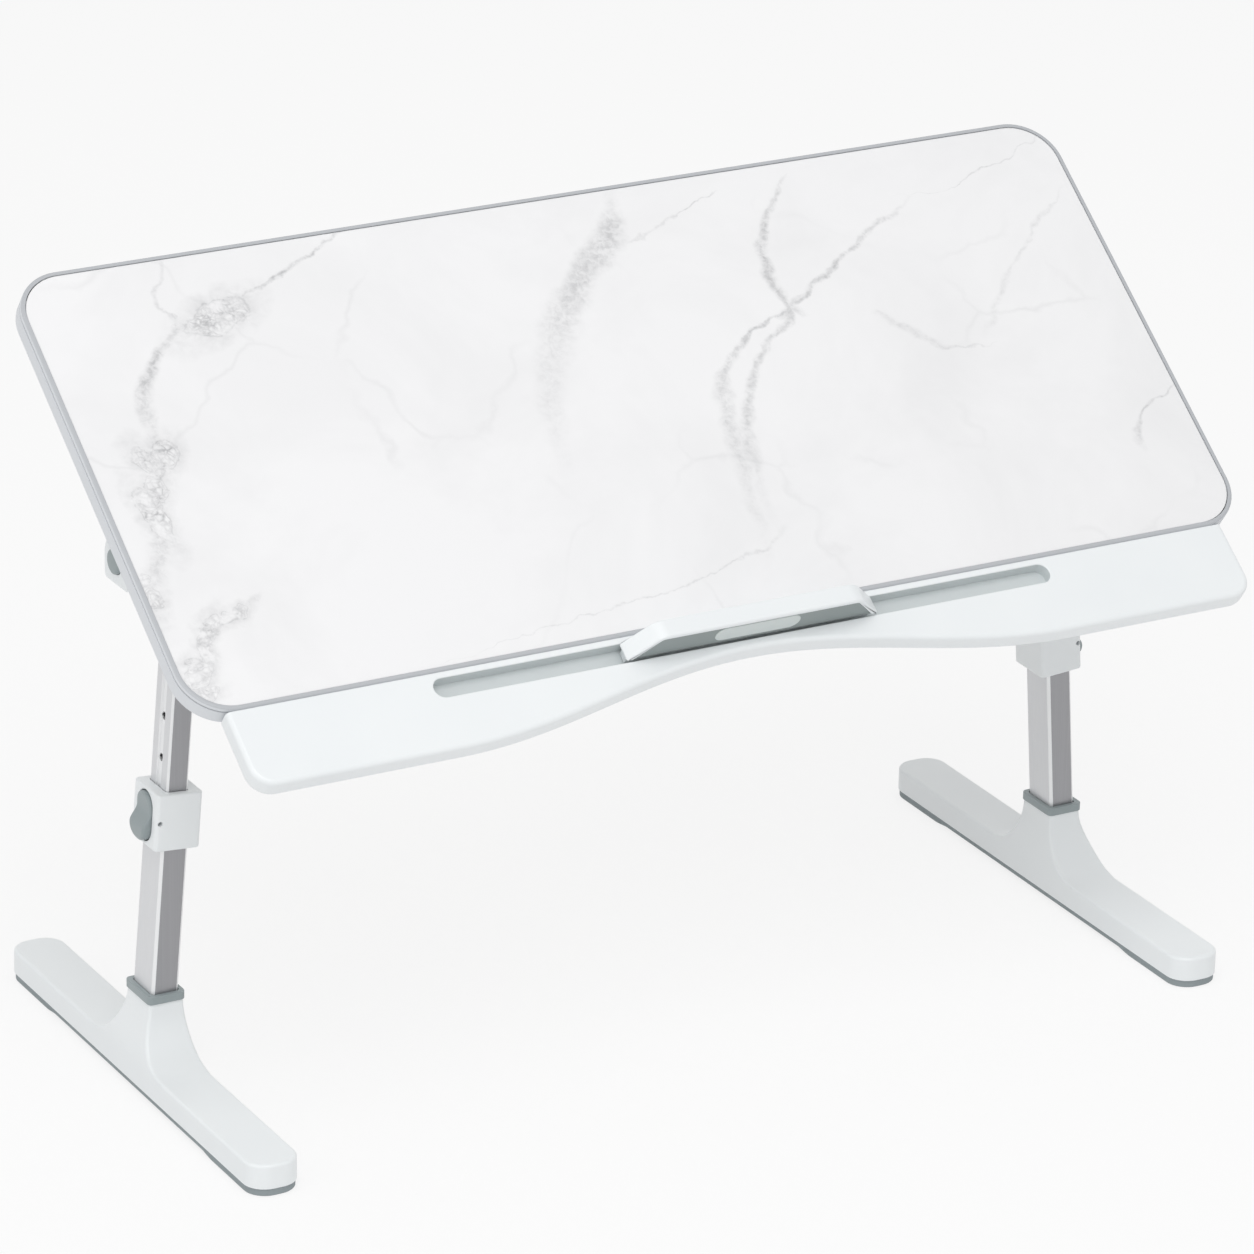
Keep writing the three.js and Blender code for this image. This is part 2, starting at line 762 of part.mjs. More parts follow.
function headOutline() {
  const shape = new THREE.Shape();
  const [half, foot, round] = [headRadius, -headSkirt, headCorner];
  shape.absarc(0, 0, half, 0, Math.PI / 2, false);
  shape.absarc(0, 0, half, Math.PI / 2, Math.PI, false);
  shape.absarc(-half + round, foot + round, round, Math.PI, 1.5 * Math.PI, false);
  shape.absarc(half - round, foot + round, round, 1.5 * Math.PI, 2 * Math.PI, false);
  return new THREE.Shape(shape.getPoints(smallCornerSteps));
}

// The inside of the head, which leaves the lock's parts a running gap
function headCavity() {
  const gap = runningGap;
  return turnedAlongX([
    [0, headStart - overrun],
    [coneRadius + gap, headStart - overrun],
    [coneRadius + gap, coneSeat],
    [axleRadius + gap, coneNose],
    [axleRadius + gap, chamberStart],
    [chamberRadius, chamberStart],
    [chamberRadius, headOuter + overrun],
    [0, headOuter + overrun],
  ]);
}

// A straight prism down the splayed leg, from and to being distances below the pivot
function alongLeg(shape, from, to) {
  return plate(shape, to - from).translate(0, 0, -to).rotateY(-splay);
}

const upperSocket = roundedRectangle(
  upperTubeWidth + 2 * seatGap,
  upperTubeDepth + 2 * seatGap,
  tubeCorner,
);

function headPinBore(radius) {
  return rodAlongY(radius, -clampDepth, clampDepth).translate(0, 0, -headPinAt).rotateY(-splay);
}

function legHead() {
  const shell = plateAlongX(headOutline(), headOuter - headStart, headEdgeRound).translate(headStart, 0, 0);
  const stemWidth = upperTubeWidth + 2 * headStemWall + headStemLength * Math.tan(splay);
  const stem = plate(
    roundedRectangle(stemWidth, upperTubeDepth + 2 * headStemWall, headCorner),
    headStemLength,
    headEdgeRound,
  ).translate((headStemLength * Math.tan(splay)) / 2, 0, -headStemLength);
  const socket = alongLeg(upperSocket, upperTubeTop - seatGap, headStemLength + overrun);
  return cut(join(shell, stem), headCavity(), socket, headPinBore(headPinRadius + runningGap));
}

function headCover() {
  const body = plateAlongX(headOutline(), coverThickness, headEdgeRound)
    .translate(headOverhang - coverThickness, 0, 0);
  return cut(body, rodAlongX(buttonRadius + runningGap, 0, headOverhang + overrun, roundSteps));
}

const buttonStart = headOverhang + buttonProud - buttonLength;
const axleEnd = buttonStart + buttonSocket;

function tiltAxle() {
  const start = cheekInner - legOut + buttonTravel + seatGap;
  const nose = coneNose - coneShift;
  return turnedAlongX([
    [0, start],
    [axleRadius, start],
    [axleRadius, coneBack],
    [coneRadius, coneBack],
    [coneRadius, coneSeat - coneShift],
    [axleRadius, nose],
    [axleRadius, axleEnd],
    [0, axleEnd],
  ]);
}

function tiltButton() {
  const end = headOverhang + buttonProud;
  const round = buttonRadius / 5;
  return turnedAlongX([
    [0, axleEnd + seatGap],
    [axleRadius + seatGap, axleEnd + seatGap],
    [axleRadius + seatGap, buttonStart],
    [buttonFlangeRadius, buttonStart],
    [buttonFlangeRadius, buttonStart + buttonFlangeThickness],
    [buttonRadius, buttonStart + buttonFlangeThickness],
    [buttonRadius, end - round],
    [buttonRadius - round / 3, end - round / 3],
    [buttonRadius - round, end],
    [0, end],
  ]);
}

function tiltSpring() {
  const [from, to] = [chamberStart + seatGap, buttonStart - seatGap];
  return coilAlongX(tiltSpringRadius, tiltSpringWire, tiltSpringTurns, from, to);
}

// The lower tube stands on the floor of the foot's socket
const shellFoot = padThickness + soleThickness + seatGap;
const lowerTubeEnd = (pivotHeight - shellFoot - socketFloor) / Math.cos(splay);

// Telescoping tubes: aluminium extrusions, the upper one with a channel for the row of lock holes

const channelOutset = upperTubeWidth / 2;

function upperTubeOutline() {
  const [x, y, r] = [upperTubeWidth / 2, upperTubeDepth / 2, tubeCorner];
  const [c, d] = [channelWidth / 2, channelDepth];
  const shape = new THREE.Shape();
  shape.moveTo(x, c);
  shape.absarc(x - r, y - r, r, 0, Math.PI / 2, false);
  shape.absarc(-x + r, y - r, r, Math.PI / 2, Math.PI, false);
  shape.absarc(-x + r, -y + r, r, Math.PI, 1.5 * Math.PI, false);
  shape.absarc(x - r, -y + r, r, 1.5 * Math.PI, 2 * Math.PI, false);
  shape.lineTo(x, -c);
  shape.lineTo(x - d, -c + d / 2);
  shape.lineTo(x - d, c - d / 2);
  const outline = new THREE.Shape(shape.getPoints(cornerSteps - 2));
  const [ix, iy] = [x - tubeWall, y - tubeWall];
  const hole = new THREE.Path();
  hole.moveTo(-ix, -iy);
  hole.lineTo(-ix, iy);
  hole.lineTo(ix, iy);
  hole.lineTo(ix, c + tubeWall);
  hole.lineTo(ix - d, c + tubeWall);
  hole.lineTo(ix - d, -c - tubeWall);
  hole.lineTo(ix, -c - tubeWall);
  hole.lineTo(ix, -iy);
  outline.holes.push(hole);
  return outline;
}

const lockHoles = Array.from({ length: holeCount }, (_, i) => lockHoleAt - i * holePitch);

function upperTube() {
  const holes = lockHoles.map((at) => rodAlongX(holeRadius, 0, upperTubeWidth).translate(0, 0, -at));
  const pinHole = rodAlongY(headPinRadius + runningGap, -upperTubeDepth, upperTubeDepth)
    .translate(0, 0, -headPinAt);
  const body = plate(upperTubeOutline(), upperTubeEnd - upperTubeTop).translate(0, 0, -upperTubeEnd);
  return cut(body, ...holes, pinHole);
}

function headPin() {
  const half = upperTubeDepth / 2 + headStemWall;
  return rodAlongY(headPinRadius, -half, half).translate(0, 0, -headPinAt);
}

// A nylon plug in the upper tube's end, which slides in the lower tube
function tubeGlide() {
  const inset = tubeWall + seatGap;
  const plugWidth = upperTubeWidth - 2 * inset - channelDepth;
  const plug = box(
    -upperTubeWidth / 2 + inset,
    -upperTubeWidth / 2 + inset + plugWidth,
    -upperTubeDepth / 2 + inset,
    upperTubeDepth / 2 - inset,
    -upperTubeEnd - seatGap - glideFootLength / 2,
    -upperTubeEnd + glidePlugLength,
  );
  const foot = plate(roundedRectangle(upperTubeWidth, upperTubeDepth, tubeCorner), glideFootLength)
    .translate(0, 0, -upperTubeEnd - seatGap - glideFootLength);
  return join(plug, foot);
}

const lowerTubeWidth = upperTubeWidth + 2 * (runningGap + tubeWall);
const lowerTubeDepth = upperTubeDepth + 2 * (runningGap + tubeWall);

function lowerTube() {
  const outline = roundedRectangle(lowerTubeWidth, lowerTubeDepth, tubeCorner + tubeWall / 2);
  const bore = roundedRectangle(lowerTubeWidth - 2 * tubeWall, lowerTubeDepth - 2 * tubeWall, tubeCorner / 2);
  outline.holes.push(new THREE.Path(bore.getPoints().reverse()));
  const body = plate(outline, lowerTubeEnd - lowerTubeStart).translate(0, 0, -lowerTubeEnd);
  const hole = rodAlongX(holeRadius, 0, lowerTubeWidth).translate(0, 0, -lockHoleAt);
  return cut(body, hole);
}

// Height clamp: a moulded collar on the lower tube's mouth, with a pocket for the rocker lever

const clampFace = clampWidth / 2;
const pocketFloor = clampFace - leverPocketDepth;
const leverPivotOut = clampFace - leverPivotIn;
const pocketTop = leverPivotAt - leverHeight / 2 - runningGap;
const pocketEnd = leverPivotAt + leverHeight / 2 + leverSwingRoom;

function clampHousing() {
  const outline = roundedRectangle(clampWidth, clampDepth, clampCorner, clampCornerSteps);
  const body = plate(outline, clampHeight, clampEdgeRound).translate(0, 0, -clampTop - clampHeight);
  const tubeSocket = plate(
    roundedRectangle(lowerTubeWidth + 2 * seatGap, lowerTubeDepth + 2 * seatGap, tubeCorner),
    clampTop + clampHeight + overrun - lowerTubeStart + seatGap,
  ).translate(0, 0, -clampTop - clampHeight - overrun);
  const mouth = plate(
    roundedRectangle(upperTubeWidth + 2 * runningGap, upperTubeDepth + 2 * runningGap, tubeCorner / 2),
    clampHeight,
  ).translate(0, 0, -clampTop - clampHeight / 2);
  const pocket = box(
    pocketFloor,
    clampFace + overrun,
    -leverWidth / 2 - runningGap,
    leverWidth / 2 + runningGap,
    -pocketEnd,
    -pocketTop,
  );
  const pinBore = rodAlongX(holeRadius, 0, clampWidth).translate(0, 0, -lockHoleAt);
  const boreHalf = leverPinLength / 2 + seatGap;
  const leverBore = rodAlongY(leverPinRadius + runningGap / 2, -boreHalf, boreHalf)
    .translate(leverPivotOut, 0, -leverPivotAt);
  return cut(body, tubeSocket, mouth, pocket, pinBore, leverBore);
}

// Lever outline round its pivot: X out of the clamp, Y up the leg
function leverOutline() {
  const end = leverHeight / 2;
  const shape = new THREE.Shape();
  shape.moveTo(-leverInner, leverBossRadius);
  shape.lineTo(-leverInner, end);
  shape.lineTo(leverFace - leverSkin, end);
  shape.quadraticCurveTo(leverFace, end, leverFace, end - leverSkin);
  shape.lineTo(leverFace, leverBossRadius / 2);
  shape.bezierCurveTo(leverFace, -leverBossRadius, leverBulge, -leverBulgeTop, leverBulge, -leverBulgeMiddle);
  shape.bezierCurveTo(leverBulge, -leverBulgeFoot, leverFace + leverSkin, -end, leverFace, -end);
  shape.lineTo(leverRelief, -end);
  shape.lineTo(-leverInner + leverSkin / 2, -leverBossRadius);
  return new THREE.Shape(shape.getPoints(cornerSteps));
}

const lockPinAbove = leverPivotAt - lockHoleAt;

function heightLever() {
  const blank = plateAlongY(leverOutline(), leverWidth).translate(0, -leverWidth / 2, 0);
  const cavityHalf = lockPinHeadRadius + lockPinPlay;
  const cavity = box(
    -leverInner + leverWeb,
    leverFace - leverSkin,
    -cavityHalf,
    cavityHalf,
    lockPinAbove - cavityHalf,
    lockPinAbove + cavityHalf,
  );
  const slot = box(
    -leverInner - overrun,
    0,
    -lockPinRadius - lockPinPlay / 2,
    lockPinRadius + lockPinPlay / 2,
    lockPinAbove - lockPinRadius - lockPinPlay,
    leverHeight,
  );
  const bore = rodAlongY(leverPinRadius + runningGap, -leverWidth, leverWidth);
  const springSeat = rodAlongX(
    leverSpringRadius + leverSpringWire,
    -leverInner - overrun,
    pocketFloor + leverSpringLength + 2 * seatGap - leverPivotOut,
  ).translate(0, 0, -leverSpringDrop);
  return cut(blank, cavity, slot, bore, springSeat).translate(leverPivotOut, 0, -leverPivotAt);
}

function leverPin() {
  const half = leverPinLength / 2;
  return rodAlongY(leverPinRadius, -half, half).translate(leverPivotOut, 0, -leverPivotAt);
}

// The lock pin's nose lies in the channel, at the mouth of a hole
function lockPin() {
  const nose = channelOutset - channelDepth + runningGap;
  const headStart = leverPivotOut - leverInner + leverWeb + lockPinPlay;
  return turnedAlongX([
    [0, nose],
    [lockPinRadius - lockPinNoseBevel, nose],
    [lockPinRadius, nose + lockPinNoseBevel],
    [lockPinRadius, headStart],
    [lockPinHeadRadius, headStart],
    [lockPinHeadRadius, headStart + lockPinHeadThickness],
    [0, headStart + lockPinHeadThickness],
  ], smallRoundSteps).translate(0, 0, -lockHoleAt);
}

function leverSpring() {
  const start = pocketFloor + seatGap;
  return coilAlongX(leverSpringRadius, leverSpringWire, leverSpringTurns, start, start + leverSpringLength)
    .translate(0, 0, -leverPivotAt - leverSpringDrop);
}

// Foot: a moulded beam that sweeps up into a riser, in which the lower tube stands

const riserTop = footTop + riserHeight;
const collarFoot = riserTop + seatGap;
const tubeOutAt = (height) => (pivotHeight - height) * Math.tan(splay);
const footMiddle = legOut + tubeOutAt(shellFoot + socketFloor);

function riser() {
  const rings = [];
  for (let level = 0; level <= riserLevels; level += 1) {
    const angle = (level / riserLevels) * (Math.PI / 2);
    const riseShare = 1 - Math.cos(angle);
    const height = footTop + riserHeight * riseShare;
    const depth = riserDepth + 2 * riserFlare * (1 - Math.sin(angle));
    const width = footWidth - footEdgeRound + (riserWidth - footWidth + footEdgeRound) * riseShare;
    const shift = (tubeOutAt(riserTop) - footMiddle + legOut) * riseShare;
    rings.push(roundedRectangle(width, depth, riserCorner).getPoints()
      .map((point) => new THREE.Vector3(point.x + shift, point.y, height)));
  }
  const sunk = rings[0].map((point) => point.clone().setZ(footTop - footEdgeRound * 2));
  return skin([sunk, ...rings], false);
}

// The hole that the splayed lower tube leaves in a piece that stands upright
function footSocket() {
  const [width, depth] = [lowerTubeWidth + 2 * seatGap, lowerTubeDepth + 2 * seatGap];
  return plate(roundedRectangle(width, depth, tubeCorner + tubeWall / 2), pivotHeight)
    .translate(0, 0, -lowerTubeEnd - seatGap)
    .rotateY(-splay)
    .translate(legOut - footMiddle, 0, pivotHeight);
}

function footShell() {
  const outline = roundedRectangle(footWidth, footLength, footCorner, cornerSteps);
  const beam = plate(outline, footTop - shellFoot, footEdgeRound, fineBevelSteps).translate(0, 0, shellFoot);
  return cut(join(beam, riser()), footSocket());
}

function footCollar() {
  const ring = plate(
    roundedRectangle(riserWidth + 2 * collarProud, riserDepth + 2 * collarProud, riserCorner),
    collarHeight,
    collarProud,
  ).translate(legOut + tubeOutAt(collarFoot) - footMiddle, 0, collarFoot);
  return cut(ring, footSocket());
}

// A rubber sole under the whole foot, which is thicker at both ends and stands on those
function footSole() {
  const inset = footEdgeRound / 4;
  const [width, length] = [footWidth - 2 * inset, footLength - 2 * inset];
  const outline = roundedRectangle(width, length, footCorner - inset, cornerSteps);
  const middle = footLength / 2 - padLength;
  const arch = box(-footWidth, footWidth, -middle, middle, -overrun, padThickness);
  return cut(plate(outline, padThickness + soleThickness), arch);
}

// Both sides: everything is drawn for the right-hand leg and mirrored for the left

function addSide(sideName, side) {
  const handed = (geometry) => (side > 0 ? geometry : mirrored(geometry));
  const add = (parent, piece, geometry, finish) => {
    addMesh(parent, `${piece}_${sideName}`, handed(geometry), finish);
  };

  add(hinges, 'hinge_plate', hingePlate(), 'steel');
  plateScrews().forEach((geometry, i) => {
    addMesh(hinges, `hinge_screw_${sideName}_${i + 1}`, handed(geometry), 'steel');
  });
  add(hinges, 'fold_pin', foldPin(), 'steel');
  add(hinges, 'fold_bracket', foldBracket(), 'whitePlastic');

  const head = new THREE.Group();
  head.position.set(side * legOut, 0, pivotHeight);
  bedTable.add(head);
  add(head, 'leg_head', legHead(), 'whitePlastic');
  add(head, 'head_cover', headCover(), 'whitePlastic');
  add(head, 'tilt_axle', tiltAxle(), 'steel');
  add(head, 'tilt_button', tiltButton(), 'greyPlastic');
  add(head, 'tilt_spring', tiltSpring(), 'steel');

  const leg = new THREE.Group();
  leg.rotation.y = -side * splay;
  head.add(leg);
  add(leg, 'upper_tube', upperTube(), 'aluminium');
  add(leg, 'head_pin', headPin(), 'steel');
  add(leg, 'tube_glide', tubeGlide(), 'greyPlastic');
  add(leg, 'lower_tube', lowerTube(), 'aluminium');
  add(leg, 'clamp_housing', clampHousing(), 'whitePlastic');
  add(leg, 'height_lever', heightLever(), 'greyPlastic');
  add(leg, 'lever_pin', leverPin(), 'steel');
  add(leg, 'lever_spring', leverSpring(), 'steel');
  add(leg, 'lock_pin', lockPin(), 'steel');

  const foot = new THREE.Group();
  foot.position.set(side * footMiddle, 0, 0);
  bedTable.add(foot);
  add(foot, 'foot_shell', footShell(), 'whitePlastic');
  add(foot, 'foot_collar', footCollar(), 'greyPlastic');
  add(foot, 'foot_sole', footSole(), 'rubber');
}

bedTable.add(tilted);
addSide('left', -1);
addSide('right', 1);

// The origin goes under the middle of the space that the whole table takes
const extent = new THREE.Box3().setFromObject(bedTable, true);
bedTable.position.y = -(extent.min.y + extent.max.y) / 2;

export default bedTable;
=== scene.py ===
import json
import math

import bmesh
import bpy
from mathutils import Matrix, Vector


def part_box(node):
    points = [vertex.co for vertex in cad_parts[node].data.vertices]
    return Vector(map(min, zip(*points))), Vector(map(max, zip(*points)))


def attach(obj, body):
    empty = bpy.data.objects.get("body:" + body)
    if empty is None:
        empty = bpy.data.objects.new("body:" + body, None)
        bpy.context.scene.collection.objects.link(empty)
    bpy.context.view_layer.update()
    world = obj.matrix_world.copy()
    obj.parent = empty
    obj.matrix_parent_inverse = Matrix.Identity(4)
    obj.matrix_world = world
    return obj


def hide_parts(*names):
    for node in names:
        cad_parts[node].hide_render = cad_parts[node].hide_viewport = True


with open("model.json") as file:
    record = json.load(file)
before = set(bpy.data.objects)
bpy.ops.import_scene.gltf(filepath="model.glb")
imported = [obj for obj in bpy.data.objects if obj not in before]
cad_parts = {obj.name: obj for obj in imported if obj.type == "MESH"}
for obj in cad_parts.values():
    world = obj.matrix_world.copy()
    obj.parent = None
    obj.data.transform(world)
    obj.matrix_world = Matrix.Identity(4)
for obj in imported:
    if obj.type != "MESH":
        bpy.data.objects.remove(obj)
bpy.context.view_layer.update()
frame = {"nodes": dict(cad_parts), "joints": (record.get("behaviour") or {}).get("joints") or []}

# The stand: the top leans back about the two pivots, and each leg leans outwards below its own.
# All pieces are drawn square to the part of the stand that carries them, and then set in place.
# The angles and the pivots come from the joints.
joints = {joint["name"]: joint for joint in frame["joints"]}
pivot = Vector(joints["tilt_right"]["pos_m"])
fold_axis = Vector(joints["fold_right"]["axis"])
slide_axis = Vector(joints["height_right"]["axis"])
tilt = math.atan2(fold_axis.z, fold_axis.y)
splay = math.atan2(-slide_axis.x, slide_axis.z)
foot_low, foot_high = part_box("foot_shell_right")
foot_middle = (foot_low + foot_high) / 2
TOP = Matrix.Translation((0, pivot.y, pivot.z)) @ Matrix.Rotation(tilt, 4, "X")
HEAD = Matrix.Translation(pivot)
LEG = HEAD @ Matrix.Rotation(-splay, 4, "Y")
FOOT = Matrix.Translation((foot_middle.x, foot_middle.y, 0))

# Camera: in front of the left corner and above the top, far away behind a long lens.
# It leans a little, as the photograph does.
PHOTO_SIDE = 1254
FOCAL_PIXELS = 6852
SENSOR = 36
CAMERA_AT = Vector((-1.58822, -2.82686, 1.51535))
CAMERA_TURN = math.radians(29.325)
CAMERA_DIP = math.radians(22.101)
CAMERA_ROLL = math.radians(1.2)

bpy.ops.object.select_all(action="DESELECT")
bpy.ops.object.camera_add(location=CAMERA_AT)
camera = bpy.context.object
camera.name = "photo_camera"
camera.data.sensor_width = SENSOR
camera.data.lens = FOCAL_PIXELS / PHOTO_SIDE * SENSOR
camera.data.clip_end = 50
level = Matrix.Rotation(-CAMERA_TURN, 3, "Z") @ Matrix.Rotation(math.pi / 2 - CAMERA_DIP, 3, "X")
camera.rotation_euler = (level @ Matrix.Rotation(CAMERA_ROLL, 3, "Z")).to_euler()
bpy.context.scene.camera = camera


# Board: pressed wood fibre, ten millimetres thick, with a sheet of backing paper glued underneath.
# Only its underside shows, so the finish is the paper's: off-white, dull, with a faint mottle.
def linear(hex_text):
    """Turns an sRGB hex colour to linear light."""
    shares = [int(hex_text[place:place + 2], 16) / 255 for place in (1, 3, 5)]
    return [s / 12.92 if s <= 0.04045 else ((s + 0.055) / 1.055) ** 2.4 for s in shares] + [1.0]


def add(tree, kind, inputs=(), **settings):
    """Adds a node with its settings, its values and its links."""
    made = tree.nodes.new(kind)
    for name, value in settings.items():
        setattr(made, name, value)
    for name, value in dict(inputs).items():
        if isinstance(value, bpy.types.NodeSocket):
            tree.links.new(value, made.inputs[name])
        else:
            made.inputs[name].default_value = value
    return made


def start_finish(name):
    """Starts a material, and gives its nodes and the object's own coordinates in metres."""
    finish = bpy.data.materials.new(name)
    finish.use_nodes = True
    finish.node_tree.nodes.clear()
    place = add(finish.node_tree, "ShaderNodeTexCoord").outputs["Object"]
    return finish, finish.node_tree, place


def end_finish(finish, inputs):
    """Closes a material with its shader, which takes the inputs."""
    skin = add(finish.node_tree, "ShaderNodeBsdfPrincipled", inputs)
    add(finish.node_tree, "ShaderNodeOutputMaterial", {"Surface": skin.outputs["BSDF"]})
    return finish


def wear_finish(names, finish):
    """Gives CAD nodes a finish in place of the plain one."""
    for name in names:
        node = frame["nodes"][name]
        node.data.materials.clear()
        node.data.materials.append(finish)


def backing_paper():
    """Melamine backing paper: off-white, pressed flat, so it is dull with a fine fibrous mottle."""
    fibre_size = 0.0025
    finish, tree, place = start_finish("melamine_backing_paper")
    mottle = add(tree, "ShaderNodeTexNoise", {"Vector": place, "Scale": 1 / fibre_size, "Detail": 5})
    colour = add(tree, "ShaderNodeMixRGB", {
        "Fac": mottle.outputs["Fac"], "Color1": linear("#DDDCD8"), "Color2": linear("#ECEBE8")})
    bump = add(tree, "ShaderNodeBump", {"Height": mottle.outputs["Fac"], "Strength": 0.1, "Distance": 0.0002})
    return end_finish(finish, {
        "Base Color": colour.outputs["Color"], "Roughness": 0.62, "Normal": bump.outputs["Normal"]})


wear_finish(["board_core"], backing_paper())


# Printed top: a melamine sheet printed as white marble and pressed on the board at high heat.
# It gives the eye a satin white with soft grey veins, some drawn out thin and some full of crystals.
# Each vein runs from the rear of the top to the front, through listed places.
TOP_CORNER = 0.026
BAND_LIP = 0.0024
SHEET_EDGE = 0.0002
NEAR = 1e-5
STRAIGHT = 0.999
SQUARE = 0.9
SHARP = math.radians(50)
SMOOTH = math.radians(35)


def take(piece):
    """Selects a piece alone, and makes it the active one."""
    bpy.ops.object.select_all(action="DESELECT")
    bpy.context.view_layer.objects.active = piece
    piece.select_set(True)


def edit(piece, kind="FACE"):
    """Opens a piece alone in edit mode, with nothing in it selected."""
    take(piece)
    bpy.ops.object.mode_set(mode="EDIT")
    bpy.ops.mesh.select_mode(type=kind)
    bpy.ops.mesh.select_all(action="DESELECT")


def pick(piece, kind, test):
    """Selects the faces, edges or vertices of the open piece that pass the test."""
    mesh = bmesh.from_edit_mesh(piece.data)
    bpy.ops.mesh.select_mode(type=kind)
    bpy.ops.mesh.select_all(action="DESELECT")
    parts = {"FACE": mesh.faces, "EDGE": mesh.edges, "VERT": mesh.verts}[kind]
    for part in parts:
        if test(part):
            part.select_set(True)
    mesh.select_flush_mode()
    bmesh.update_edit_mesh(piece.data)


def close(piece):
    """Leaves edit mode, with smooth shading where faces meet at a small angle."""
    bpy.ops.object.mode_set(mode="OBJECT")
    bpy.ops.object.shade_smooth_by_angle(angle=SMOOTH)


def block(name, low, high):
    """A box between two corners, the start of a piece."""
    bpy.ops.object.select_all(action="DESELECT")
    low, high = Vector(low), Vector(high)
    bpy.ops.mesh.primitive_cube_add(size=1, location=(low + high) / 2, scale=high - low)
    piece = bpy.context.object
    piece.name = piece.data.name = name
    bpy.ops.object.transform_apply(location=True, rotation=True, scale=True)
    return piece


def runs_along(axis):
    """A test for edges that lie along X, Y or Z, given as 0, 1 or 2."""
    def test(edge):
        line = edge.verts[0].co - edge.verts[1].co
        return abs(line[axis]) > STRAIGHT * line.length
    return test


def round_edges(piece, test, radius, steps=4):
    """Rounds the edges that pass the test."""
    edit(piece, "EDGE")
    pick(piece, "EDGE", test)
    bpy.ops.mesh.bevel(offset=radius, segments=steps, profile=0.5, affect="EDGES", clamp_overlap=False)
    close(piece)


def rounded_block(name, low, high, axis, radius, steps=4):
    """A box between two corners, rounded at the four edges that lie along an axis."""
    piece = block(name, low, high)
    round_edges(piece, runs_along(axis), radius, steps)
    return piece


def rim_at(axis, place):
    """A test for sharp edges whose two ends both lie at one place along an axis."""
    def test(edge):
        flat = all(abs(vert.co[axis] - place) < NEAR for vert in edge.verts)
        return flat and edge.is_manifold and edge.calc_face_angle(0) > SHARP
    return test


def round_rims(piece, axis, places, radius, steps):
    """Rounds the sharp rims that lie at the places along an axis."""
    for place in places:
        round_edges(piece, rim_at(axis, place), radius, steps)


def facing(axis, sign=0):
    """A test for faces square to an axis: all of them, or those that look along it by the sign."""
    return lambda face: (face.normal[axis] * sign if sign else abs(face.normal[axis])) > SQUARE


def span(node, place):
    """The lowest and the highest corner of a CAD node, measured square to a part of the stand."""
    back = place.inverted()
    corners = [back @ vertex.co for vertex in frame["nodes"][node].data.vertices]
    low = Vector([min(corner[axis] for corner in corners) for axis in range(3)])
    high = Vector([max(corner[axis] for corner in corners) for axis in range(3)])
    return low, high


def settle(piece, place, body, slot, finishes, *nodes):
    """Sets a finished piece in its place, hangs it on the body that carries it, and hides the CAD nodes it
    stands for.
    """
    piece.data.transform(place)
    for finish in finishes:
        piece.data.materials.append(finish)
    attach(piece, body)
    if nodes:
        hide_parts(*nodes)


top_low, top_high = span("edge_band", TOP)
sheet_low, sheet_high = span("marble_laminate", TOP)
marble_top = rounded_block("marble_top", sheet_low, sheet_high, 2, TOP_CORNER - BAND_LIP, 16)
round_rims(marble_top, 2, [sheet_high.z], SHEET_EDGE, 2)

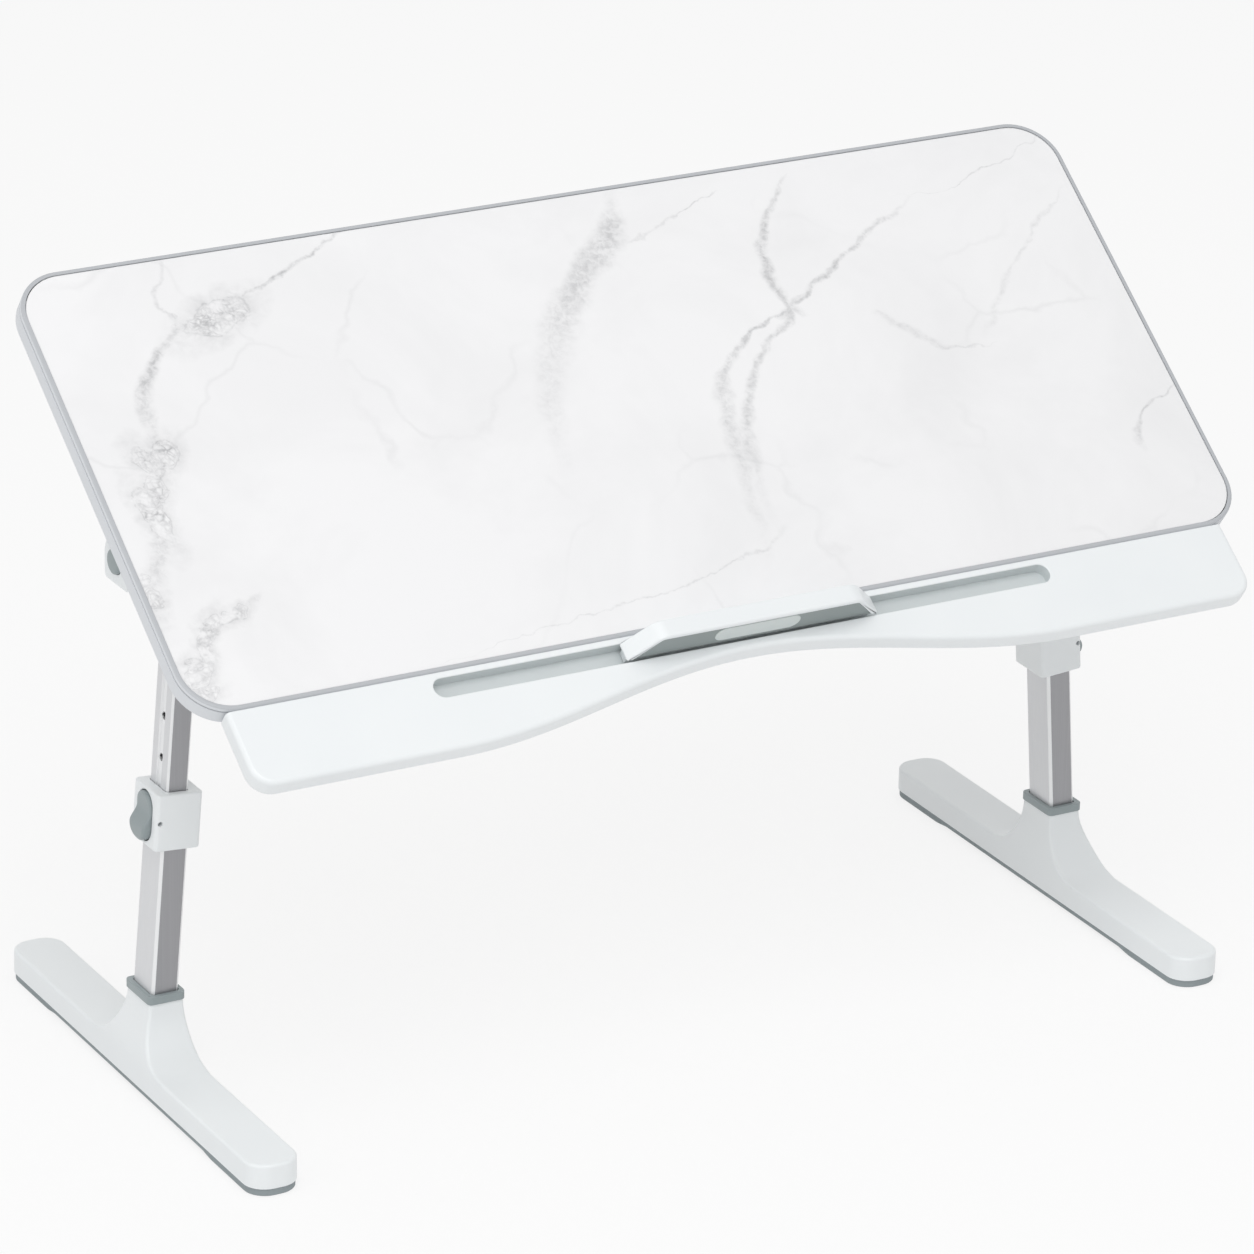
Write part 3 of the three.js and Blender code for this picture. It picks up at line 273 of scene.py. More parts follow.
# A vein: from the rear to the front, how far along the top's depth, how far right of its middle,
# how wide and how dark it is there. The first three are in millimetres, the last is a share.
VEINS = [
    [(131, -117, 7, 0.5), (120, -140, 8, 0.8), (108, -163, 8, 0.9), (99, -186, 12, 0.7), (86, -222, 12, 0.6),
     (72, -241, 14, 0.9), (52, -256, 15, 0.8), (33, -258, 12, 0.5), (12, -265, 24, 0.5), (-12, -275, 20, 0.6),
     (-34, -281, 18, 0.6), (-50, -288, 20, 0.5), (-66, -296, 24, 0.4), (-90, -302, 20, 0.0)],
    [(-68, -240, 8, 0.0), (-78, -254, 14, 0.6), (-88, -273, 16, 0.7), (-102, -283, 22, 0.7),
     (-115, -289, 24, 0.6), (-131, -297, 16, 0.4)],
    [(131, -214, 4, 0.0), (122, -218, 5, 0.4), (110, -229, 5, 0.4), (102, -230, 5, 0.5), (94, -224, 6, 0.7),
     (80, -230, 8, 0.0)],
    [(131, 36, 10, 0.0), (113, 30, 20, 0.5), (99, 22, 30, 0.9), (82, 3, 34, 0.8), (62, -16, 34, 0.7),
     (40, -31, 30, 0.4), (0, -50, 20, 0.2), (-40, -60, 10, 0.0)],
    [(119, 94, 3, 0.0), (113, 80, 4, 0.6), (107, 64, 6, 0.5), (99, 46, 8, 0.4), (94, 26, 8, 0.0)],
    [(120, 138, 5, 0.0), (112, 130, 6, 0.5), (94, 115, 9, 0.8), (77, 107, 11, 1.0), (58, 102, 12, 1.0),
     (46, 104, 10, 0.8), (34, 110, 8, 0.0)],
    [(98, 205, 6, 0.0), (87, 189, 8, 0.4), (80, 175, 12, 0.7), (71, 158, 9, 0.8), (60, 141, 9, 0.9),
     (50, 124, 10, 0.9), (41, 106, 9, 0.8), (34, 96, 8, 0.0)],
    [(48, 116, 8, 0.0), (41, 106, 8, 0.7), (33, 86, 9, 0.9), (22, 66, 10, 0.8), (10, 52, 12, 0.7),
     (-10, 45, 14, 0.6), (-32, 40, 14, 0.5), (-60, 35, 12, 0.3), (-110, 26, 8, 0.0)],
    [(48, 112, 8, 0.0), (41, 106, 8, 0.7), (29, 94, 9, 0.8), (15, 77, 9, 0.8), (0, 65, 11, 0.7),
     (-18, 55, 12, 0.7), (-34, 47, 13, 0.5), (-60, 42, 10, 0.2), (-90, 38, 8, 0.0)],
    [(126, 306, 4, 0.2), (116, 280, 5, 0.3), (107, 251, 5, 0.6), (100, 227, 6, 0.4), (96, 190, 6, 0.0)],
    [(-42, 306, 5, 0.6), (-48, 297, 6, 0.7), (-57, 279, 7, 0.7), (-69, 264, 7, 0.6), (-84, 262, 7, 0.0)],
    [(30, 150, 8, 0.0), (21, 160, 12, 0.4), (8, 172, 12, 0.4), (0, 186, 10, 0.4), (-4, 208, 8, 0.0)],
    [(88, 294, 4, 0.0), (70, 272, 5, 0.3), (45, 243, 6, 0.3), (25, 223, 7, 0.3), (0, 205, 6, 0.0)],
    [(-84, 44, 8, 0.0), (-99, 18, 10, 0.4), (-110, -34, 10, 0.4), (-121, -110, 12, 0.3),
     (-127, -190, 12, 0.0)],
]

# Pockets of crystals in the veins: depth, how far right, half length, half width and turn in degrees
CRYSTAL_POCKETS = [
    (89, -202, 21, 9, 24), (16, -258, 11, 7, 60), (13, -269, 12, 6, 110), (-3, -272, 9, 6, 90),
    (-17, -278, 18, 6, 100), (-52, -296, 7, 4, 40), (-60, -293, 8, 6, 100), (-80, -259, 11, 4, 20),
    (-88, -277, 14, 5, 55), (-106, -289, 9, 7, 80), (-119, -288, 8, 4, 20),
]


def vein_strength(tree, along, across, places):
    """How strongly one vein shows, as a soft band and as a fine crack along its middle.

    The line, the width and the darkness follow three drawn curves from the rear to the front.
    """
    rear, front = places[0][0], places[-1][0]
    widest = 40
    half_top = 320
    crack_half = 0.0009
    share = add(tree, "ShaderNodeMapRange", {
        "Value": along, "From Min": rear / 1000, "From Max": front / 1000})
    curves = add(tree, "ShaderNodeRGBCurve", {"Color": share.outputs["Result"]})
    for channel, scaled in enumerate((
            lambda place: place[1] / (2 * half_top) + 0.5,
            lambda place: place[2] / widest,
            lambda place: place[3])):
        points = curves.mapping.curves[channel].points
        for number, place in enumerate(places):
            at = ((place[0] - rear) / (front - rear), scaled(place))
            if number in (0, len(places) - 1):
                points[0 if number == 0 else -1].location = at
            else:
                points.new(*at)
    curves.mapping.update()
    parts = add(tree, "ShaderNodeSeparateColor", {"Color": curves.outputs["Color"]})
    line = add(tree, "ShaderNodeMapRange", {
        "Value": parts.outputs["Red"], "To Min": -half_top / 1000, "To Max": half_top / 1000})
    gap = add(tree, "ShaderNodeMath", {0: across, 1: line.outputs["Result"]}, operation="SUBTRACT")
    aside = add(tree, "ShaderNodeMath", {0: gap.outputs[0]}, operation="ABSOLUTE")
    half = add(tree, "ShaderNodeMath", {0: parts.outputs["Green"], 1: widest / 2000}, operation="MULTIPLY")
    band = add(tree, "ShaderNodeMapRange", {
        "Value": aside.outputs[0], "From Min": half.outputs[0], "From Max": 0},
        interpolation_type="SMOOTHSTEP")
    crack = add(tree, "ShaderNodeMapRange", {
        "Value": aside.outputs[0], "From Min": crack_half, "From Max": 0})
    return [add(tree, "ShaderNodeMath", {0: shape.outputs["Result"], 1: parts.outputs["Blue"]},
                operation="MULTIPLY").outputs[0] for shape in (band, crack)]


# How dark each shape is printed: by itself, how much more in smears, and how much more in speckles
BAND_INK = (0.1, 0.2, 0.3)
CRACK_INK = (0, 0.34, 0)
RIM_INK = (0.04, 0.3, 0.2)
PARTING_INK = (0.05, 0.26, 0)
HALO_INK = (0.03, 0.16, 0.06)
MOTTLE_INK, WEB_INK, CLOUD_INK = 0.3, 0.09, 0.07

# Where a pocket, its rim and the halo round it start to show and show fully, as shares of its size
POCKET_FADE = (1, 0.8)
RIM_AT, RIM_FADE = 0.93, (0.16, 0)
HALO_FADE = (1.9, 0.9)


def printed_marble():
    """Melamine laminate with a marble print: satin white, soft grey veins and small crystals."""
    finish, tree, place = start_finish("marble_print_laminate")
    sheet_middle = TOP @ ((sheet_low + sheet_high) / 2)
    flat = add(tree, "ShaderNodeMapping", {
        "Vector": place, "Location": sheet_middle, "Rotation": (tilt, 0, 0)}, vector_type="TEXTURE")
    flat_place = flat.outputs["Vector"]
    wander_size, wander = 0.05, 0.014
    shiver_size, shiver = 0.011, 0.0095
    ragged_size, ragged_reach = 0.006, 0.006
    crystal_size, parting_width = 0.0034, 0.3
    speckle_size, speckle_levels = 0.003, (0.4, 0.68)
    smear_size, smear_levels = 0.012, (0.38, 0.64)
    cloud_size, cloud_levels = 0.11, (0.42, 0.72)
    web_size, web_half, web_levels = 0.11, 0.02, (0.5, 0.66)

    def combined(operation, *strengths, **settings):
        """Folds strengths into one, such as their product, their sum or the largest of them."""
        so_far = strengths[0]
        for strength in strengths[1:]:
            so_far = add(tree, "ShaderNodeMath", {0: so_far, 1: strength},
                         operation=operation, **settings).outputs[0]
        return so_far

    def swayed(start, size, reach, detail):
        """Moves places about by a noise of that size, so that lines through them waver."""
        noise = add(tree, "ShaderNodeTexNoise", {"Vector": flat_place, "Scale": 1 / size, "Detail": detail})
        level = add(tree, "ShaderNodeVectorMath", {
            0: noise.outputs["Color"], 1: (0.5, 0.5, 0.5)}, operation="SUBTRACT")
        step = add(tree, "ShaderNodeVectorMath", {
            0: level.outputs["Vector"], "Scale": reach}, operation="SCALE")
        return add(tree, "ShaderNodeVectorMath", {0: start, 1: step.outputs["Vector"]}).outputs["Vector"]

    def patchy(size, start, end, detail=4):
        """Patches of that size, which start to show at one level of the noise and show fully at the other."""
        noise = add(tree, "ShaderNodeTexNoise", {
            "Vector": flat_place, "Scale": 1 / size, "Detail": detail, "Roughness": 0.62, "Distortion": 0.5})
        return add(tree, "ShaderNodeMapRange", {
            "Value": noise.outputs["Fac"], "From Min": start, "From Max": end}).outputs["Result"]

    bent = swayed(swayed(flat_place, wander_size, wander, 2), shiver_size, shiver, 5)
    ragged = swayed(bent, ragged_size, ragged_reach, 4)
    axes = add(tree, "ShaderNodeSeparateXYZ", {"Vector": bent})
    veins = [vein_strength(tree, axes.outputs["Y"], axes.outputs["X"], places) for places in VEINS]
    band, crack = (combined("MAXIMUM", *strengths) for strengths in zip(*veins))
    pockets, rims, halos = [], [], []
    for depth, right, half_length, half_width, turn in CRYSTAL_POCKETS:
        local = add(tree, "ShaderNodeMapping", {
            "Vector": ragged, "Location": (right / 1000, depth / 1000, 0),
            "Rotation": (0, 0, math.radians(turn)),
            "Scale": (half_length / 1000, half_width / 1000, 1)}, vector_type="TEXTURE")
        reach = add(tree, "ShaderNodeVectorMath", {0: local.outputs["Vector"]},
                    operation="LENGTH").outputs["Value"]
        off_rim = add(tree, "ShaderNodeMath", {0: combined("SUBTRACT", reach, RIM_AT)},
                      operation="ABSOLUTE").outputs[0]
        for group, value, (start, end) in (
                (pockets, reach, POCKET_FADE), (rims, off_rim, RIM_FADE), (halos, reach, HALO_FADE)):
            group.append(add(tree, "ShaderNodeMapRange", {
                "Value": value, "From Min": start, "From Max": end}).outputs["Result"])
    pocket, rim, halo = (combined("MAXIMUM", *group) for group in (pockets, rims, halos))

    # Inside a pocket the crystals are white, and fine grey lines that come and go part them
    cells = add(tree, "ShaderNodeTexVoronoi", {"Vector": bent, "Scale": 1 / crystal_size, "Randomness": 1},
                feature="DISTANCE_TO_EDGE")
    partings = add(tree, "ShaderNodeMapRange", {
        "Value": cells.outputs["Distance"], "From Max": parting_width, "To Min": 1, "To Max": 0})
    speckle = patchy(speckle_size, *speckle_levels)
    smear = patchy(smear_size, *smear_levels)

    # A faint web of old cracks and some clouds run through the white between the veins
    web_place = swayed(bent, wander_size * 2, wander * 4, 3)
    web = add(tree, "ShaderNodeTexVoronoi", {"Vector": web_place, "Scale": 1 / web_size},
              feature="DISTANCE_TO_EDGE")
    thread = add(tree, "ShaderNodeMapRange", {
        "Value": web.outputs["Distance"], "From Min": web_half, "From Max": 0})
    clouds = patchy(cloud_size, *cloud_levels)
    web_shows = patchy(cloud_size * 1.3, *web_levels, 2)

    def uneven(plain, smeared, speckled):
        """A darkness that grows in the smears and in the speckles."""
        return combined("ADD", combined("MULTIPLY", speckle, speckled), combined("MULTIPLY", smear, smeared),
                        plain)

    off_pocket = combined("SUBTRACT", 1, pocket)
    mottle = combined("MULTIPLY", smear, speckle, MOTTLE_INK)
    lines = combined("MULTIPLY", partings.outputs["Result"], uneven(*PARTING_INK))
    inked = combined(
        "MAXIMUM",
        combined("MULTIPLY", band, uneven(*BAND_INK), off_pocket),
        combined("MULTIPLY", crack, uneven(*CRACK_INK), off_pocket),
        combined("MULTIPLY", rim, uneven(*RIM_INK)),
        combined("MULTIPLY", pocket, combined("ADD", lines, mottle)),
        combined("MULTIPLY", halo, uneven(*HALO_INK), off_pocket))
    faint = combined("ADD", combined("MULTIPLY", thread.outputs["Result"], web_shows, WEB_INK),
                     combined("MULTIPLY", clouds, CLOUD_INK))
    colour = add(tree, "ShaderNodeMixRGB", {
        "Fac": combined("ADD", inked, faint, use_clamp=True),
        "Color1": linear("#F4F4F5"), "Color2": linear("#717276")})
    return end_finish(finish, {
        "Base Color": colour.outputs["Color"], "Roughness": 0.38, "IOR": 1.5})


settle(marble_top, TOP, "table", "marble", [printed_marble()], "marble_laminate")


# Edge band: a soft PVC profile, extruded in one length and pressed by its tongue into a slot that is
# milled round the board. A fine groove runs close to its upper edge, and its lip laps over the print.
BAND_ROUND = 0.0012
GROOVE_DROP = 0.0028
GROOVE_HALF = 0.0006
GROOVE_DEPTH = 0.0009
TONGUE_LENGTH = 0.006
TONGUE_HALF = 0.001
TONGUE_DROP = 0.0053
LIP_SHADE_FADE = (-0.0009, -0.0003)
OUTWARD = 0.01
UPRIGHT = 0.5


def slice_flat(piece, axis, places):
    """Adds a ring of edges round the open piece at each place along an axis."""
    for place in places:
        point = [0, 0, 0]
        normal = [0, 0, 0]
        point[axis] = place
        normal[axis] = 1
        bpy.ops.mesh.select_all(action="SELECT")
        bpy.ops.mesh.bisect(plane_co=point, plane_no=normal)


edge_trim = rounded_block("edge_trim", top_low, top_high, 2, TOP_CORNER, 20)
edit(edge_trim)
pick(edge_trim, "FACE", facing(2))
bpy.ops.mesh.inset(thickness=BAND_LIP)
bpy.ops.mesh.delete(type="FACE")
pick(edge_trim, "EDGE", lambda edge: edge.is_boundary)
bpy.ops.mesh.bridge_edge_loops()
band_middle = sheet_low.z - TONGUE_DROP
groove_at = top_high.z - GROOVE_DROP
slice_flat(edge_trim, 2, [groove_at - GROOVE_HALF, groove_at, groove_at + GROOVE_HALF])
slice_flat(edge_trim, 2, [band_middle - TONGUE_HALF, band_middle + TONGUE_HALF])


def outside(part):
    """A test for what looks away from the middle of the top."""
    centre = part.co if hasattr(part, "co") else part.calc_center_median()
    reach = Vector((centre.x / top_high.x, (centre.y - top_middle.y) / (top_high.y - top_middle.y)))
    return part.normal.xy.dot(reach) > OUTWARD


top_middle = (top_low + top_high) / 2
pick(edge_trim, "VERT", lambda vert: abs(vert.co.z - groove_at) < NEAR and outside(vert))
bpy.ops.transform.shrink_fatten(value=-GROOVE_DEPTH)
pick(edge_trim, "FACE", lambda face: abs(face.calc_center_median().z - band_middle) < TONGUE_HALF / 2
     and not outside(face))
bpy.ops.mesh.extrude_region_shrink_fatten(TRANSFORM_OT_shrink_fatten={"value": TONGUE_LENGTH})
close(edge_trim)
for height in (top_low.z, top_high.z):
    round_edges(edge_trim, lambda edge: rim_at(2, height)(edge)
                and max(abs(edge.verts[0].co.x) - top_high.x,
                        abs(edge.verts[0].co.y - top_middle.y) - top_high.y + top_middle.y) > -TOP_CORNER
                and any(outside(face) and abs(face.normal.z) < UPRIGHT for face in edge.link_faces),
                BAND_ROUND, 4)


def extruded_pvc():
    """Soft PVC: extruded, so it is smooth along its length and satin. Its lip is painted a little darker and
    its groove darker still, both as painted shade.
    """
    finish, tree, place = start_finish("extruded_pvc_band")
    flat = add(tree, "ShaderNodeMapping", {
        "Vector": place, "Location": TOP @ Vector((0, 0, top_high.z)), "Rotation": (tilt, 0, 0)},
        vector_type="TEXTURE")
    axes = add(tree, "ShaderNodeSeparateXYZ", {"Vector": flat.outputs["Vector"]})
    # Painted shade: the lip and the groove line are painted darker, standing in for the shade that falls on
    # them
    lip_shade = add(tree, "ShaderNodeMapRange", {
        "Value": axes.outputs["Z"], "From Min": LIP_SHADE_FADE[0], "From Max": LIP_SHADE_FADE[1]})
    off_groove = add(tree, "ShaderNodeMath", {0: axes.outputs["Z"], 1: GROOVE_DROP}, operation="ADD")
    near_groove = add(tree, "ShaderNodeMath", {0: off_groove.outputs[0]}, operation="ABSOLUTE")
    groove_shade = add(tree, "ShaderNodeMapRange", {
        "Value": near_groove.outputs[0], "From Min": GROOVE_HALF, "From Max": 0})
    plain = add(tree, "ShaderNodeMixRGB", {
        "Fac": lip_shade.outputs["Result"], "Color1": linear("#DDE0E4"), "Color2": linear("#B9BCC0")})
    colour = add(tree, "ShaderNodeMixRGB", {
        "Fac": groove_shade.outputs["Result"], "Color1": plain.outputs["Color"], "Color2": linear("#8A8E93")})
    streak_size = 0.03
    streaks = add(tree, "ShaderNodeTexNoise", {"Vector": place, "Scale": 1 / streak_size, "Detail": 2})
    rough = add(tree, "ShaderNodeMapRange", {
        "Value": streaks.outputs["Fac"], "To Min": 0.38, "To Max": 0.5})
    return end_finish(finish, {
        "Base Color": colour.outputs["Color"], "Roughness": rough.outputs["Result"], "IOR": 1.53})


settle(edge_trim, TOP, "table", "edge_band", [extruded_pvc()], "edge_band")


# Wrist rest: one injection moulding in white ABS, hollow underneath behind ribs, with a flange that is
# screwed up under the board. Its front edge swells towards both hands and draws in between them.
REST_LOBE = 0.043
REST_WAIST = 0.0195
REST_WAVE_HALF = 0.172
REST_CORNER = 0.012
REST_THICKNESS = 0.0105
REST_TOP_ROUND = 0.0024
REST_FOOT_ROUND = 0.0015
REST_STEP = 0.007
REST_GAP = 0.0003
TROUGH_LENGTH = 0.35
TROUGH_WIDTH = 0.011
TROUGH_DEPTH = 0.007
TROUGH_WALL = 0.0032
TROUGH_ROUND = 0.0005
POCKET_START = 0.062
POCKET_PITCH = 0.041
POCKET_COUNT = 5
RIB = 0.0022
REST_SKIN = 0.0034
NEARLY_HALF = 0.49


def carve(piece, tool, operation="DIFFERENCE"):
    """Cuts the tool out of the piece, or joins it on, and clears the tool away."""
    take(piece)
    modifier = piece.modifiers.new("carve", "BOOLEAN")
    modifier.object = tool
    modifier.operation = operation
    modifier.solver = "MANIFOLD"
    bpy.ops.object.modifier_apply(modifier=modifier.name)
    bpy.data.objects.remove(tool)
    piece.data.materials.clear()
    bpy.ops.object.shade_smooth_by_angle(angle=SMOOTH)


def gather(pieces, name):
    """Joins several blocks to one piece."""
    bpy.ops.object.select_all(action="DESELECT")
    for piece in pieces:
        piece.select_set(True)
    bpy.context.view_layer.objects.active = pieces[0]
    bpy.ops.object.join()
    pieces[0].name = pieces[0].data.name = name
    return pieces[0]


def rest_depth(x):
    """How far the rest reaches from the top's edge, x from its middle."""
    share = min(abs(x) / REST_WAVE_HALF, 1)
    return REST_WAIST + (REST_LOBE - REST_WAIST) * (1 - math.cos(math.pi * share)) / 2


rest_low, rest_high = span("wrist_rest", TOP)
rest_rear = top_low.y - REST_GAP
rest_foot = rest_high.z - REST_THICKNESS
wrist_rest = block("wrist_rest_moulding", (rest_low.x, rest_rear - REST_LOBE, rest_foot),
                   (rest_high.x, rest_rear, rest_high.z))
round_edges(wrist_rest, lambda edge: runs_along(2)(edge) and edge.verts[0].co.y < rest_rear - REST_WAIST,
            REST_CORNER, 10)
edit(wrist_rest, "VERT")
wave_steps = 44
slice_flat(wrist_rest, 0, [REST_WAVE_HALF * (2 * step / wave_steps - 1) for step in range(wave_steps + 1)])
front_row = rest_rear - REST_LOBE
for vert in bmesh.from_edit_mesh(wrist_rest.data).verts:
    if abs(vert.co.y - front_row) < NEAR and abs(vert.co.x) < REST_WAVE_HALF:
        vert.co.y = rest_rear - rest_depth(vert.co.x)
bmesh.update_edit_mesh(wrist_rest.data)
close(wrist_rest)


def front_rim(height):
    """A test for the outer rim of the rest at one height, its straight rear edge left out."""
    def test(edge):
        rear = all(abs(vert.co.y - rest_rear) < NEAR for vert in edge.verts)
        return rim_at(2, height)(edge) and not rear
    return test


round_edges(wrist_rest, front_rim(rest_high.z), REST_TOP_ROUND, 6)
round_edges(wrist_rest, front_rim(rest_foot), REST_FOOT_ROUND, 3)

trough_middle = rest_rear - TROUGH_WALL - TROUGH_WIDTH / 2
trough_half = Vector((TROUGH_LENGTH / 2, TROUGH_WIDTH / 2, TROUGH_DEPTH))
trough_mouth = Vector((0, trough_middle, rest_high.z))
carve(wrist_rest, rounded_block("trough_cut", trough_mouth - trough_half, trough_mouth + trough_half, 2,
                                TROUGH_WIDTH * NEARLY_HALF, 8))
edit(wrist_rest, "EDGE")
pick(wrist_rest, "EDGE", lambda edge: rim_at(2, rest_high.z)(edge)
     and all(abs(vert.co.y - trough_middle) < TROUGH_WIDTH / 2 + NEAR for vert in edge.verts))
bpy.ops.mesh.bevel(offset=TROUGH_ROUND, segments=3, affect="EDGES", clamp_overlap=True)
close(wrist_rest)

pockets = []
for number in range(POCKET_COUNT):
    near = POCKET_START + number * POCKET_PITCH
    far = near + POCKET_PITCH - RIB
    front = rest_rear - rest_depth(near) + REST_TOP_ROUND + RIB
    rear = trough_middle - TROUGH_WIDTH / 2 - RIB
    for left, right in ((near, far), (-far, -near)):
        pockets.append(rounded_block("pocket", (left, front, rest_foot - RIB),
                                     (right, rear, rest_high.z - REST_SKIN), 2, RIB / 2, 2))
carve(wrist_rest, gather(pockets, "pockets"))
flange_end = rest_high.x - REST_CORNER
flange = block("flange", (-flange_end, rest_rear - REST_STEP, rest_low.z),
               (flange_end, rest_high.y, top_low.z - REST_GAP))
step_up = block("step_up", (-flange_end, rest_rear - REST_STEP, top_low.z - 2 * REST_GAP),
                (flange_end, rest_rear, rest_foot + RIB / 2))
carve(flange, step_up, "UNION")
carve(wrist_rest, flange, "UNION")


def drifting(tree, place, size, detail, dark, light, rough, spread):
    """A drift in patches of that size, and the colour and the roughness that follow it."""
    noise = add(tree, "ShaderNodeTexNoise", {"Vector": place, "Scale": 1 / size, "Detail": detail})
    drift = noise.outputs["Fac"]
    colour = add(tree, "ShaderNodeMixRGB", {"Fac": drift, "Color1": linear(dark), "Color2": linear(light)})
    satin = add(tree, "ShaderNodeMapRange", {
        "Value": drift, "To Min": rough - spread, "To Max": rough + spread})
    return drift, {"Base Color": colour.outputs["Color"], "Roughness": satin.outputs["Result"]}


def moulded_plastic(name, dark, light, rough, grain_size, grain_depth):
    """Injection moulded plastic: its colour barely drifts, and a fine spark texture softens the shine."""
    finish, tree, place = start_finish(name)
    drift_size = 0.07
    skin = drifting(tree, place, drift_size, 2, dark, light, rough, spread=0.05)[1]
    grain = add(tree, "ShaderNodeTexNoise", {"Vector": place, "Scale": 1 / grain_size, "Detail": 2})
    bump = add(tree, "ShaderNodeBump", {
        "Height": grain.outputs["Fac"], "Strength": 0.25, "Distance": grain_depth})
    return end_finish(finish, {**skin, "Normal": bump.outputs["Normal"], "IOR": 1.54})


# ABS moulded in a finely eroded tool: cool white, satin, the grain drawn at 0.7 mm so that it shows
white_abs = moulded_plastic("moulded_white_abs", "#ECF0F2", "#F3F6F7", 0.34, 0.0007, 0.00004)
# The inside of the trough is left rough from the spark erosion of the mould, and is painted greyer as painted
# shade in the recess
trough_painted_shade_abs = moulded_plastic("moulded_rough_white_abs_painted_shade", "#CFD5D6", "#D8DDDE", 0.6, 0.0008, 0.0001)
# The trough's inner faces take the greyer copy of the white ABS, as painted shade
for face in wrist_rest.data.polygons:
    x, y, z = face.center
    inside = abs(x) < TROUGH_LENGTH / 2 and abs(y - trough_middle) < TROUGH_WIDTH / 2 + NEAR
    if inside and rest_high.z - TROUGH_DEPTH - NEAR < z < rest_high.z - TROUGH_ROUND + NEAR:
        face.material_index = 1
settle(wrist_rest, TOP, "table", "white_abs", [white_abs, trough_painted_shade_abs], "wrist_rest")


# Stopper: a white ABS bridge with slanting ends, whose tongue slides in the trough.
# A soft grey pad is pressed into its face, and a pale inlay, left bare, is let into the pad.
STOPPER_TOP_HALF = 0.0565
STOPPER_SHOULDER = 0.0001
STOPPER_HEAD_CORNER = 0.0042
STOPPER_FOOT_CORNER = 0.0016
STOPPER_ROUND = 0.0011
STOPPER_INNER_ROUND = 0.0006
STOPPER_WALL = 0.0026
STOPPER_RING = 0.045
STOPPER_POCKET = 0.0035
STOPPER_GAP = 0.0002
TONGUE_IN = 0.003
PAD_CORNER = 0.0012
INLAY_ROUND = 0.0003

stopper_low, stopper_high = span("stopper_frame", TOP)
pad_front = span("stopper_pad", TOP)[0].y
shoulder = rest_high.z + STOPPER_SHOULDER
cheek_run = (stopper_high.x - STOPPER_TOP_HALF) / (stopper_high.z - shoulder)


def bridge_half(height, inset):
    """Half the bridge's length at a height, measured that far inside its slanting ends."""
    return stopper_high.x - (height - shoulder) * cheek_run - inset * math.hypot(1, cheek_run)


def bridge_block(name, inset, foot, head, front, rear, corner):
    """A block with the bridge's slanting ends and its rounded upper corners."""
    piece = block(name, (-bridge_half(foot, inset), front, foot), (bridge_half(foot, inset), rear, head))
    edit(piece)
    pick(piece, "FACE", facing(2, 1))
    bpy.ops.transform.resize(value=(bridge_half(head, inset) / bridge_half(foot, inset), 1, 1))
    close(piece)
    round_edges(piece, lambda edge: runs_along(1)(edge)
                and min(vert.co.z for vert in edge.verts) > head - NEAR, corner, 8)
    return piece


stopper = bridge_block("stopper_bridge", 0, shoulder, stopper_high.z, stopper_low.y, stopper_high.y,
                       STOPPER_HEAD_CORNER)
round_edges(stopper, lambda edge: rim_at(2, shoulder)(edge) and runs_along(1)(edge), STOPPER_FOOT_CORNER, 4)
# The front is parted by rings, so that no face has to run round the room that is cut in it
edit(stopper)
slice_flat(stopper, 0, [-STOPPER_RING, 0, STOPPER_RING])
close(stopper)
round_rims(stopper, 1, (stopper_low.y, stopper_high.y), STOPPER_ROUND, 4)
pad_head = stopper_high.z - STOPPER_WALL
pad_floor = stopper_low.y + STOPPER_POCKET
carve(stopper, bridge_block("pad_room", STOPPER_WALL, shoulder - STOPPER_POCKET, pad_head,
                            stopper_low.y - STOPPER_POCKET, pad_floor, PAD_CORNER))
round_edges(stopper, lambda edge: rim_at(1, stopper_low.y)(edge) and all(
    vert.co.z < pad_head + NEAR and abs(vert.co.x) < bridge_half(vert.co.z, STOPPER_WALL) + NEAR
    for vert in edge.verts), STOPPER_INNER_ROUND, 3)
tongue = rounded_block("tongue", (stopper_low.x + TONGUE_IN, pad_floor, stopper_low.z),
                       (stopper_high.x - TONGUE_IN, stopper_high.y - STOPPER_ROUND, shoulder + STOPPER_GAP),
                       2, STOPPER_GAP, 2)
carve(stopper, tongue, "UNION")
settle(stopper, TOP, "stopper", "white_abs", [white_abs], "stopper_frame")

pad = bridge_block("stopper_soft_pad", STOPPER_WALL + STOPPER_GAP, shoulder + STOPPER_GAP,
                   pad_head - STOPPER_GAP, pad_front, pad_floor, PAD_CORNER)
round_rims(pad, 1, [pad_front], STOPPER_GAP, 2)
soft_pad = moulded_plastic("moulded_soft_pad", "#8E9797", "#9CA5A5", 0.6, 0.0009, 0.00008)
settle(pad, TOP, "stopper", "soft_pad", [soft_pad], "stopper_pad")

inlay_low, inlay_high = span("stopper_inlay", TOP)
inlay = rounded_block("stopper_pill", inlay_low, inlay_high, 1,
                      (inlay_high.z - inlay_low.z) * NEARLY_HALF, 10)
round_rims(inlay, 1, [inlay_low.y], INLAY_ROUND, 2)
pale_abs = moulded_plastic("moulded_pale_abs", "#CED6D5", "#D8DFDE", 0.4, 0.0007, 0.00004)
settle(inlay, TOP, "stopper", "pale_inlay", [pale_abs], "stopper_inlay")


